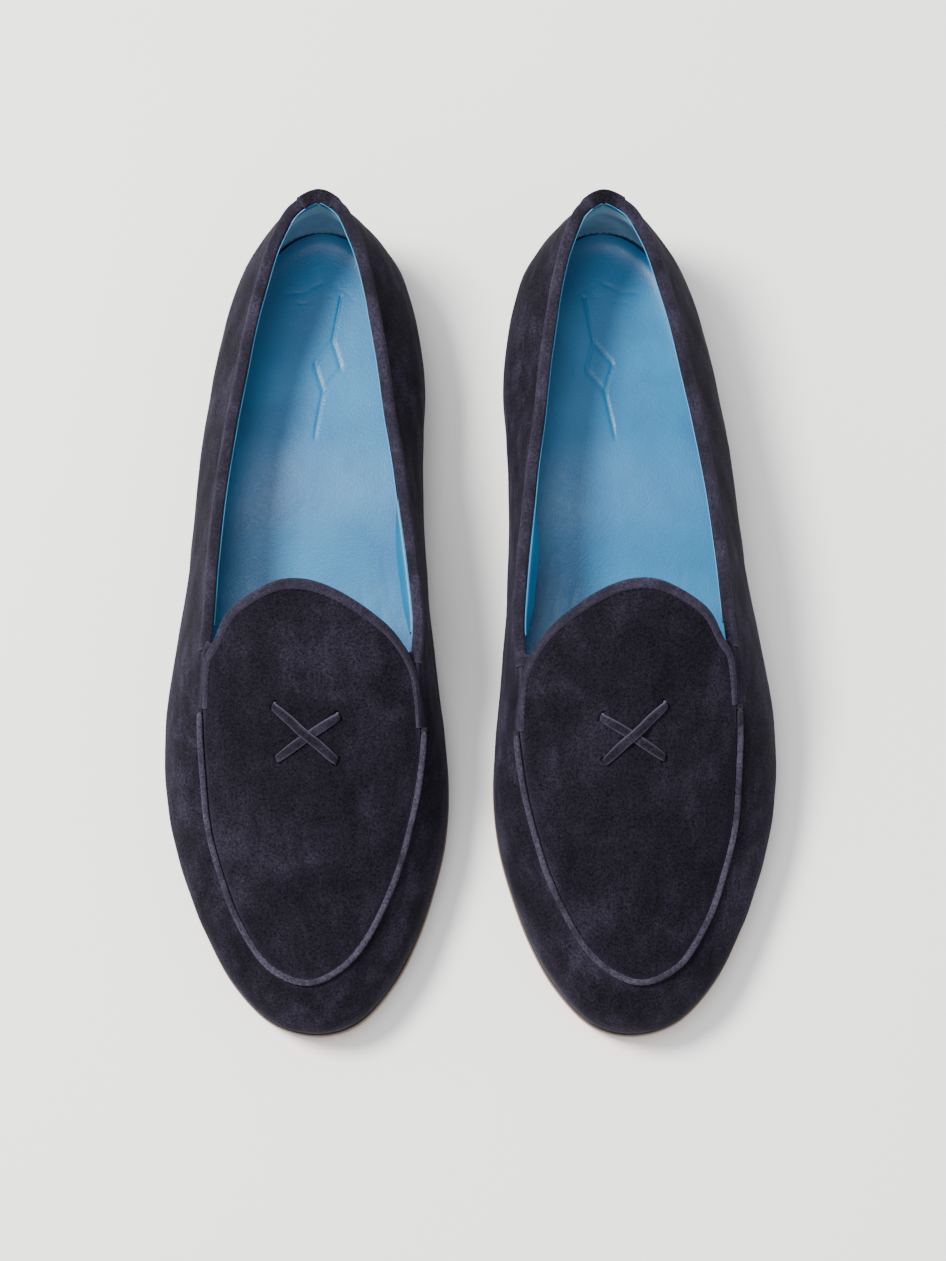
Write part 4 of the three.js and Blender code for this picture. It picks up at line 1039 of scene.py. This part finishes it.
def tapeShape():
    # dark reinforcing tape laid under the seam between wrap and apron
    f = np.linspace(15.5 - rimCount, 8.7, 420)
    offsets = np.array([-1.2, -0.4, 0.4, 1.2, 2.0, 2.8])
    plan = rimAt(f)[:, None] + rimInward(f)[:, None] * offsets[None, :, None]
    depth = np.broadcast_to(1.22 + 0.25 * np.maximum(0, -offsets), plan.shape[:2])
    return skin(onCrown(plan, depth), onCrown(plan, depth + 0.25), 0.3)


makePair("seam_tape", tapeShape(), suede, stands=[])


def facingShape(s0, s1, sag, along=330):
    # the lining's trimmed edge, turned up inside the binding and left a hair below its roll;
    # where it sags, its lower edge stands off the lining
    s = np.linspace(s0, s1, along)
    top, n = wallRaw(s, full(s)), wallNormal(s, full(s))
    up = unit(top - wallRaw(s, full(s) * 0.96))
    depth = last["upper"] + last["lining"] + 3 * clearance + bindLook["leather"]
    trim = 0.10 * softNoise(top, 6, 53) - 0.75
    drops = np.array([5.2, 4.2, 3.2, 2.2, 1.2, 0.5, 0.0])
    lean = sag * eased(-24, 2, top[:, 1]) * (1 - eased(18, 46, top[:, 1]))
    depth = depth + lean[:, None] * (drops / drops[0]) ** 0.8
    below = up[:, None] * (drops[None, :] - trim[:, None])[..., None]
    outer = top[:, None] - below - n[:, None] * depth[..., None]
    return skin(outer, outer - n[:, None] * 0.4, 0.25)


for part, s0, s1, sag in (("collar_facing_lateral", 0.004, 8.2 / count, 0.0),
                          ("collar_facing_medial", 25.75 / count, 0.996, 3.4)):
    makePair(part, facingShape(s0, s1, sag), liningCalf, stands=[])
makePair("tongue_binding", tongueBindingShape(bindLook), edgeSuede)
# the bindings run a little way under the backstay, which steps up over them
for part, s0, s1 in (("topline_binding_lateral", backHalf - 0.005, 8.8 / count),
                     ("topline_binding_medial", 25.1 / count, 1 - backHalf + 0.005)):
    makePair(part, toplineShape(s0, s1, 330, bindLook["reach"], 2.8), edgeSuede)
backS = np.linspace(-backHalf, backHalf, 90)
makePair("backstay", toplineShape(-backHalf, backHalf, 90, 24 - 5 * np.abs(backS / backHalf) ** 4, 3.2, 0.10,
                                  lift=clearance + 0.55),
         wrapSuede)
print("bindings made")

# crossed straps through their slits


def strapShape(strap, look):
    a, b = np.array(strap["from"], float), np.array(strap["to"], float)
    length = np.linalg.norm(b - a)
    way = (b - a) / length
    middle = (np.array(look["crossing"]) - a) @ way
    rise = look["thick"] / 2 + 0.12
    d = np.concatenate([np.zeros(3), [0.12, 0.35, 0.7], np.linspace(1.1, length - 1.1, 44),
                        length - np.array([0.7, 0.35, 0.12]), np.full(3, length)])
    h = rise + strap["hump"] * (1 - eased(look["width"] * 0.5, look["width"] * 2.0, np.abs(d - middle)))
    ends = [-last["upper"] + 0.15, -0.5, 0.0]
    h[:6] = ends + [rise * 0.45, rise * 0.8, rise * 0.97]
    h[-6:] = [rise * 0.97, rise * 0.8, rise * 0.45] + ends[::-1]
    plan = a + d[:, None] * way
    n = crownNormal(plan[:, 0], plan[:, 1])
    centre = onCrown(plan, -h)
    tangent = unit(np.gradient(centre, axis=0))
    side = unit(np.cross(n, np.append(way, 0.0)))
    up = unit(np.cross(tangent, side))
    # the strip narrows and rolls a little as it goes through each slit
    near = np.exp(-np.minimum(d, length - d) / 2.2)
    roll = 0.30 * near * strap["twist"] * np.where(d < length / 2, 1, -1)
    wide = look["width"] / 2 * (1 - 0.22 * near) * (1 + 0.02 * softNoise(centre, 5, 61))
    ringAngles = np.arange(20) / 20 * 2 * math.pi
    c, q = np.cos(ringAngles), np.sin(ringAngles)
    boxOut, boxUp = np.sign(c) * np.abs(c) ** 0.45, np.sign(q) * np.abs(q) ** 0.6
    crownOf = 0.14 * (1 - boxOut ** 2) * (boxUp > 0)
    turnedSide = side * np.cos(roll)[:, None] + up * np.sin(roll)[:, None]
    turnedUp = up * np.cos(roll)[:, None] - side * np.sin(roll)[:, None]
    rings = centre[:, None] + turnedSide[:, None] * (boxOut * wide[:, None])[..., None] \
        + turnedUp[:, None] * (boxUp * look["thick"] / 2 + crownOf)[None, :, None]
    edge = np.broadcast_to(np.abs(boxOut) ** 6, rings.shape[:2]).copy()
    return sweep(rings, edge=edge)


for part, strap in straps.items():
    makePair(part, strapShape(strap, strapLook), strapSuede)
print("straps made")

# sock, heel pad

sockLook = {
    "round": 680, "edge": 0.9, "curl": 2.4, "markDeep": 0.42, "markWide": 0.48,
    # two plain rules with a lozenge between them, pressed in at the seat
    "rules": [((7.3, 120.5), (4.5, 104.5)), ((0.9, 83.5), (-1.9, 67.5)),
              ((4.4, 103.5), (7.6, 93.2)), ((7.6, 93.2), (1.0, 84.5)),
              ((1.0, 84.5), (-2.2, 94.8)), ((-2.2, 94.8), (4.4, 103.5))],
    # soft creases where it was pressed round the heel and the waist: from, to, depth, width
    "creases": [((-13, 121), (-1, 126), 0.09, 0.8), ((4, 125), (13, 119), 0.08, 0.8),
                ((-9, 118), (4, 121), 0.05, 0.7), ((19, 20), (25, -4), 0.10, 1.0),
                ((15, 12), (20, -10), 0.08, 0.9), ((22, 26), (26, 10), 0.07, 0.8),
                ((-24, 18), (-21, -2), 0.06, 1.1), ((12, 32), (20, 26), 0.06, 0.9)]}
spineEnds = (-104, 112)


def legSpine(plan):
    y = np.clip(plan[:, 1], *spineEnds)
    middle = mixed(-1.5, -0.5, eased(*spineEnds, y)) - 2.5 * np.exp(-((y - 40) / 50) ** 2)
    return np.stack([middle, y], -1)


def sockRim(extra):
    s = np.arange(sockLook["round"]) / sockLook["round"]
    t = tAt(s, sockBase(inside(s, 5 + 0 * s)[:, 1]))
    p = wall(s, t, liningDepth(s, t) + last["lining"] + extra)
    return p[:, :2]


sockEdge = sockRim(sockLook["edge"])
sockSpine = legSpine(sockEdge)
sockWay = unit(sockSpine - sockEdge)


def lineDepth(plan, a, b, wide):
    # 1 on the line between two points, falling off across it
    a, b = np.array(a, float), np.array(b, float)
    u = np.clip(((plan - a) @ (b - a)) / ((b - a) @ (b - a)), 0, 1)
    gone = np.linalg.norm(plan - a - u[..., None] * (b - a), axis=-1)
    return np.exp(-(gone / wide) ** 2)


def sockShape(look):
    shares = [0, 0.08, 0.16, 0.24, 0.32, 0.40, 0.48, 0.56, 0.64, 0.72, 0.79, 0.85, 0.90, 0.94, 0.97, 1.0]
    fine = np.interp(np.linspace(0, 15, 74), np.arange(16), shares)
    profile = [(q, 0.0, 0.0, 0.0) for q in np.linspace(0, 1, 8)]
    profile += [(1.0, -0.12, 0.25, 0), (1.0, -0.16, 0.5, 0), (1.0, -0.12, 0.8, 0)]
    profile += [(q, 0.0, 1.0, 0.0) for q in fine[::-1]]
    points, faces, edge = slab(lambda inset: sockEdge + sockWay * inset, sockSpine, profile,
                               sockBase, lambda y: sockBase(y) + last["sockThick"])
    across = len(profile)
    run = np.arange(len(points)) % across
    onTop = run >= 11
    plan = points[:, :2]
    m, y = plan[:, 0], plan[:, 1]
    fromEdge = np.linalg.norm(plan - np.repeat(sockEdge, across, 0), axis=-1)
    relief = -0.35 * np.exp(-((m + 1) / 16) ** 2 - ((y - 104) / 26) ** 2)          # heel seat
    relief += -0.35 * np.exp(-((m + 6) / 22) ** 2 - ((y + 52) / 34) ** 2)           # ball
    # edge turns up, most at the heel
    relief += (0.5 + look["curl"] * eased(84, 118, y)) * np.exp(-fromEdge / 2.4)
    # eases onto the pad
    relief += (last["padThick"] + clearance) * (eased(0, 48, y) - eased(28, 46, y))
    relief += 0.08 * softNoise(points, 22, 71) + 0.010 * softNoise(points, 6, 72)
    for a, b in look["rules"]:
        relief -= look["markDeep"] * lineDepth(plan, a, b, look["markWide"])
    wavy = plan + 0.9 * np.stack([softNoise(points, 11, 73), softNoise(points, 11, 74)], -1)
    fade = 0.5 + 0.5 * np.clip(softNoise(points, 9, 75), -1, 1)
    for a, b, deep, wide in look["creases"]:
        relief -= deep * fade * lineDepth(wavy, a, b, wide)
    points = points.copy()
    points[:, 2] += relief * onTop
    return points, faces, np.where(onTop, edge, edge * 0.5)


makePair("sock", sockShape(sockLook), liningCalf, weld=True, loose=True, smoothAngle=60)

padLook = {"from": 49.0, "crown": 0.35, "inset": 5.5}


def padShape(look):
    # moulded heel cushion, crowned in the middle and pulled in along its edge
    loop = sockRim(look["inset"])
    loop = loop[loop[:, 1] > look["from"]]
    start = np.argmax(np.linalg.norm(np.diff(np.vstack([loop, loop[:1]]), axis=0), axis=-1)) + 1
    loop = np.roll(loop, -start, axis=0)
    front = mixed(loop[-1], loop[0], np.linspace(0, 1, 26)[1:-1, None])
    front[:, 1] += 1.2 * np.sin(math.pi * np.linspace(0, 1, 26)[1:-1])
    loop = np.vstack([loop, front])
    centre = np.array([-1.0, 94.0])
    way = unit(centre - loop)
    middle = np.broadcast_to(centre, loop.shape)
    low, high = lambda y: boardTop(y) + clearance, lambda y: sockBase(y) - clearance
    profile = [(q, 0.8, 0.0, 0.0) for q in np.linspace(0, 1, 7)]
    profile += [(1.0, 0.25, 0.14, 0), (1.0, 0.0, 0.4, 0), (1.0, 0.25, 0.72, 0), (1.0, 0.9, 0.86, 0)]
    profile += [(q, 1.2, 1.0, -look["crown"] * q ** 3) for q in np.linspace(1, 0, 18)]
    return slab(lambda inset: loop + way * inset, middle, profile, low, high)


makePair("heel_pad", padShape(padLook), padFoam, weld=True, loose=True)
print("sock and pad made")

# sole, rand and heel

soleLook = {"round": 460, "lip": 0.3, "channel": 5.0, "channelDeep": 0.35, "stitch": 3.6}
roundS = np.arange(soleLook["round"]) / soleLook["round"]


def soleEdge(s, extra):
    c = station(s)
    return inside(s, c[:, 2] - mixed(0.8, 0.9, eased(20, -60, c[:, 1])) - extra)


soleRim = soleEdge(roundS, 0 * roundS)
soleSpine = legSpine(soleRim)


def soleShape(look):
    rim = lambda inset: soleEdge(roundS, np.full(len(roundS), look["lip"] - inset))
    profile = [(q, look["channel"] + 1.6, 0.0, 0.0) for q in np.linspace(0, 1, 16)]
    profile += [(1.0, look["channel"] + out, 0.0, deep) for out, deep in (
        (0.7, 0.0), (0.3, look["channelDeep"]), (-0.3, look["channelDeep"]), (-0.7, 0.0))]
    profile += [(1.0, q, 0.0, 0.0) for q in (3.2, 2.2, 1.5, 1.0)]
    profile += [(1.0, 0.5, 0.02, 0.0), (1.0, 0.16, 0.08, 0.0), (1.0, 0.0, 0.2, 0.0), (1.0, 0.0, 0.45, 0.0),
                (1.0, 0.0, 0.62, 0.0), (1.0, 0.16, 0.66, 0.0), (1.0, 0.16, 0.70, 0.0), (1.0, 0.0, 0.74, 0.0),
                (1.0, 0.05, 0.92, 0.0), (1.0, 0.25, 0.99, 0.0), (1.0, 0.8, 1.0, 0.0)]
    profile += [(q, 1.5, 1.0, 0.0) for q in np.linspace(1, 0, 10)]
    return slab(rim, soleSpine, profile, soleBottom, soleTop)


makePair("outsole", soleShape(soleLook), soleHide, weld=True, loose=True, smoothAngle=50)


def randShape():
    s = roundS
    out = soleEdge(s, np.full(len(s), 0.05))
    inn = inside(s, station(s)[:, 2] + last["margin"])
    z, zi = soleTop(out[:, 1]) + clearance, soleTop(inn[:, 1]) + clearance
    way = unit(inn - out)
    rings = []
    thick = last["randThick"]
    for inset, level in ((0.45, 0.0), (0.12, 0.1), (0.0, 0.3), (0.0, 0.62), (0.14, 0.86), (0.4, 0.97),
                         (0.9, 1.0), (1.25, 0.93), (1.5, 1.0), (2.2, 1.0)):
        rings.append(np.concatenate([out + way * inset, (z + level * thick)[:, None]], 1))
    for level in (1.0, 0.0):
        rings.append(np.concatenate([inn, (zi + level * thick)[:, None]], 1))
    grid = np.stack(rings, 1)
    edge = np.broadcast_to(np.array([0.6, 0.9, 1, 1, 0.9, 0.6, 0.3, 0.2, 0.1, 0, 0, 0]), grid.shape[:2])
    return sweep(grid, closed=True, edge=edge)


makePair("rand", randShape(), randHide, loose=True)

heelLook = {"proud": 0.2, "hollow": 2.0, "groove": 0.14}


def heelRim(look):
    # edge of the sole behind the breast, closed by a slightly hollow front
    s = np.linspace(-0.2, 0.2, 900)
    edge = soleEdge(s, np.full(len(s), look["proud"]))
    edge = edge[edge[:, 1] >= last["heelBreast"]]
    u = np.linspace(0, 1, 160)[1:-1]
    front = mixed(edge[-1], edge[0], u[:, None])
    front[:, 1] += look["hollow"] * np.sin(math.pi * u)
    loop = np.vstack([edge, front])
    closed = np.vstack([loop, loop[:1]])
    run = runAlong(closed)
    marks = np.linspace(0, run[-1], 401)[:-1]
    even = np.stack([np.interp(marks, run, closed[:, k]) for k in (0, 1)], -1)
    for _ in range(3):        # takes the sharpness off the two front corners
        even = (np.roll(even, 1, 0) + 2 * even + np.roll(even, -1, 0)) / 4
    return even


heelLoop = heelRim(heelLook)
heelCentre = np.broadcast_to(np.array([0.0, 106.0]), heelLoop.shape)
heelWay = unit(heelCentre - heelLoop)


def heelBlock(low, high, sideProfile, inner=14):
    profile = [(q, 1.6, 0.0, 0.0) for q in np.linspace(0, 1, inner)]
    profile += sideProfile
    profile += [(q, 1.6, 1.0, 0.0) for q in np.linspace(1, 0, inner)]
    return slab(lambda inset: heelLoop + heelWay * inset, heelCentre, profile,
                lambda y: 0 * y + low, lambda y: 0 * y + high)


groove = heelLook["groove"]
liftBase = last["topPiece"] + clearance
makePair("heel_lift", heelBlock(liftBase, liftBase + last["heelLift"], [
    (1, 0.5, 0.0, 0), (1, 0.08, 0.03, 0), (1, 0.0, 0.1, 0), (1, 0.0, 0.46, 0),
    (1, groove, 0.49, 0), (1, groove, 0.51, 0), (1, 0.0, 0.54, 0),
    (1, 0.0, 0.9, 0), (1, 0.08, 0.97, 0), (1, 0.5, 1.0, 0)]),
    heelStack, weld=True, loose=True)
makePair("heel_top_piece", heelBlock(0.0, last["topPiece"], [
    (1, 0.9, 0.0, 0), (1, 0.5, 0.03, 0), (1, 0.15, 0.1, 0), (1, 0.0, 0.22, 0), (1, 0.0, 0.7, 0),
    (1, groove, 0.74, 0), (1, groove, 0.78, 0), (1, 0.0, 0.82, 0),
    (1, 0.05, 0.96, 0), (1, 0.4, 1.0, 0)], inner=20),
    topRubber, weld=True, loose=True)


def turnedPin(profile, sides=28):
    a = np.arange(sides) / sides * 2 * math.pi
    rings = np.array([[(r * math.cos(k), r * math.sin(k), z) for k in a] for r, z in profile])
    return sweep(rings)


def movedTo(shape, spot):
    points, faces, edge = shape
    return points + np.array([spot[0], spot[1], 0]), faces, edge


# radius and height from the ground up, in mm
pinHole = [(1.9, -1), (1.9, 1.4), (1.1, 1.4), (1.1, 5.0)]
pinProfile = [(0.5, 0.34), (1.0, 0.38), (1.35, 0.5), (1.5, 0.72), (1.5, 0.95), (1.38, 1.02), (0.7, 1.06),
              (0.7, 4.0), (0.74, 4.1), (0.7, 4.2), (0.7, 6.6), (0.45, 7.2), (0.12, 7.5)]
for side in ("right", "left"):
    carve("heel_top_piece", side, [movedTo(turnedPin(pinHole), spot) for spot in pinSpots])
for k, spot in enumerate(pinSpots):
    makePair(f"heel_pin_{k + 1}", movedTo(turnedPin(pinProfile), spot), pinBrass,
             loose=True, smoothAngle=40)
print("sole and heel made")

# stitching

threadLook = {"upper": {"length": 1.7, "thread": 0.34, "lift": 0.05},
              "grip": {"length": 1.7, "thread": 0.32, "lift": 0.05},
              "sole": {"length": 3.0, "thread": 0.7, "lift": 0.0},
              "tack": {"length": 2.4, "thread": 0.34, "lift": 0.0, "high": 0.62, "turns": 7,
                       "pitch": 0.24}}
handTacks = {"length": 1.2, "thread": 0.34, "lift": -0.1, "spacing": 2.1}


def stitchRow(line, ups, spacing, look, inset=0.5):
    # a row along a line, each stitch set a hair off true
    places, ways, pick = evenly(line, spacing, inset)
    lifts = unit(pick(ups))
    ways = unit(ways - lifts * np.einsum("ij,ij->i", ways, lifts)[:, None])
    side = np.cross(ways, lifts)
    rng = np.random.default_rng(7)
    ways = unit(ways + side * rng.normal(0, 0.05, (len(places), 1)))
    return stitches(places, ways, lifts, look)


def tongueRow():
    f = np.linspace(boundFrom + 0.25, boundTo - 0.25, 400)
    middle = np.sin(math.pi * np.linspace(0, 1, len(f)))
    reach = mixed(bindLook["tongueEnd"], bindLook["tongueReach"], middle ** 0.6) - 0.4
    plan = rimInset(f, reach)
    n = crownNormal(plan[:, 0], plan[:, 1])
    return stitchRow(onCrown(plan, -(0 * f + 0.42)), n, bindLook["stitch"], threadLook["upper"])


def toplineRow(s0, s1, drop, raised):
    s = np.linspace(s0, s1, 400)
    t = tDown(s, drop)
    return stitchRow(wall(s, t, -raised), wallNormal(s, t), bindLook["stitch"], threadLook["upper"])


def apronTacks():
    # a short row of hand tacks on the apron, just below each end of the tongue binding
    rows = []
    rng = np.random.default_rng(19)
    for start, step in ((boundFrom - 0.05, -1), (boundTo + 0.05, 1)):
        f = start + step * np.linspace(0, 0.62, 60)
        plan = rimInset(f, 1.5)
        n = crownNormal(plan[:, 0], plan[:, 1])
        places, ways, pick = evenly(onCrown(plan, 0 * f), handTacks["spacing"])
        ups = unit(pick(n))
        side = np.cross(ways, ups)
        forward = ways * rng.uniform(0.2, 0.9, (len(places), 1))
        ways = unit(forward + side * rng.uniform(0.5, 1.0, (len(places), 1)))
        rows.append(stitches(places, ways, ups, handTacks))
    return rows


def backstayRows():
    rows = []
    for sign in (-1, 1):
        s = np.full(80, sign * (backHalf - 0.0022))
        t = tDown(s, np.linspace(2.5, 19.0, 80))
        rows.append(stitchRow(wall(s, t, -1.32), wallNormal(s, t), bindLook["stitch"], threadLook["upper"]))
    s = np.linspace(-backHalf + 0.002, backHalf - 0.002, 120)
    t = tDown(s, 22.3 - 4.6 * np.abs(s / backHalf) ** 4)
    rows.append(stitchRow(wall(s, t, -0.95), wallNormal(s, t), bindLook["stitch"], threadLook["upper"]))
    return rows


makePair("upper_stitching", joined(tongueRow(), *backstayRows(), *apronTacks(),
                                   toplineRow(backHalf + 0.003, 8.6 / count, 2.25, 0.48),
                                   toplineRow(25.3 / count, 1 - backHalf - 0.003, 2.25, 0.48)),
         seamThread, stands=[])


def gripRow():
    s = np.linspace(-gripLook["half"] + 0.004, gripLook["half"] - 0.004, 300)
    t = tAt(s, gripLook["low"] + 1.6 + gripLook["rise"] * np.abs(s))
    depth = liningDepth(s, t) + 2 * last["lining"] + clearance * 0.4
    return stitchRow(wall(s, t, depth), -wallNormal(s, t), gripLook["stitch"], threadLook["grip"])


makePair("grip_stitching", gripRow(), gripThread, stands=[])


def soleRow():
    # in the channel of the forepart and waist
    s = np.linspace(0.175, 0.825, 900)
    plan = soleEdge(s, -np.full(len(s), soleLook["channel"]))
    line = np.concatenate([plan, (soleBottom(plan[:, 1]) + 0.3)[:, None]], 1)
    down = np.broadcast_to(np.array([0.0, 0.0, -1.0]), line.shape)
    return stitchRow(line, down, soleLook["stitch"], threadLook["sole"])


makePair("sole_stitching", soleRow(), soleThread, stands=[], loose=True)


def tackShape(f0):
    # satin bar over the seam: close turns of thread laid side by side
    look = threadLook["tack"]
    turns = look["turns"]
    at, tangent, up, side = seamFrame(np.array([f0]))
    offsets = (np.arange(turns) - (turns - 1) / 2) * look["pitch"]
    height = look["high"] + 0.1 * np.cos(offsets * 2)
    places = at + tangent * offsets[:, None] + up * height[:, None]
    return stitches(places, np.repeat(side, turns, 0), np.repeat(up, turns, 0), look)


makePair("bar_tack_lateral", tackShape(boundFrom), seamThread)
makePair("bar_tack_medial", tackShape(boundTo), seamThread)
print("stitching made")

# inner parts that keep their shape

for side in ("right", "left"):
    for node, material in (("insole_board", fibreBoard), ("cork_filler", corkFill), ("shank", shankSteel)):
        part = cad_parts[f"{side}_{node}"]
        part.data.materials.clear()
        part.data.materials.append(material)

# floor, light and camera

stageLook = {"floor": "#f7f7f6", "size": 6.0, "key": 46.0, "overhead": 11.0, "world": 0.9}


def floorMaterial():
    # matt painted board: even white with the faintest mottling
    material, tree, shader, place = blankMaterial("painted_board_rolled", {
        "Roughness": 0.9, "Specular IOR Level": 0.1})
    mottle = addNode(tree, "TexNoise", {"Scale": 3.0, "Detail": 2.0}, {"Vector": place})
    tone = addNode(tree, "ValToRGB", {"stops": [(0.3, linear("#f3f3f2")), (0.7, linear(stageLook["floor"]))]},
                   {0: mottle.outputs["Fac"]})
    tree.links.new(tone.outputs[0], shader.inputs["Base Color"])
    return material


half = stageLook["size"] / 2
floorMesh = bpy.data.meshes.new("floor_shape")
floorMesh.from_pydata([(-half, -half, 0), (half, -half, 0), (half, half, 0), (-half, half, 0)],
                      [], [(0, 1, 2, 3)])
floor = bpy.data.objects.new("floor", floorMesh)
floor.location.z = -0.0004
bpy.context.scene.collection.objects.link(floor)
floorMesh.materials.append(floorMaterial())


def softLight(name, place, aim, size, power, colour="#ffffff"):
    light = bpy.data.lights.new(name, "AREA")
    light.shape, light.size, light.energy = "DISK", size, power
    light.color = linear(colour)[:3]
    lamp = bpy.data.objects.new(name, light)
    lamp.location = place
    lamp.rotation_euler = (Vector(aim) - Vector(place)).to_track_quat("-Z", "Y").to_euler()
    bpy.context.scene.collection.objects.link(lamp)


softLight("key", (-0.68, 0.22, 1.3), (0, 0, 0.03), 0.42, stageLook["key"], "#fffdf8")
softLight("overhead", (-0.2, -0.05, 1.7), (0, 0, 0), 0.6, stageLook["overhead"], "#f8faff")
world = bpy.data.worlds.new("studio")
world.use_nodes = True
world.node_tree.nodes["Background"].inputs[0].default_value = linear("#ffffff")
world.node_tree.nodes["Background"].inputs[1].default_value = stageLook["world"]
bpy.context.scene.world = world

cameraLook = {"aim": (0.0008745, 0.0005527, 0.0), "tilt": 12.0, "away": 1.3, "lens": 101.2}
tilt = math.radians(cameraLook["tilt"])
aim = Vector(cameraLook["aim"])
lens = bpy.data.cameras.new("lens")
lens.lens, lens.sensor_width = cameraLook["lens"], 36
camera = bpy.data.objects.new("camera", lens)
camera.location = aim + cameraLook["away"] * Vector((0, -math.sin(tilt), math.cos(tilt)))
camera.rotation_euler = (tilt, 0, 0)
bpy.context.scene.collection.objects.link(camera)
bpy.context.scene.camera = camera

print("stage ready")
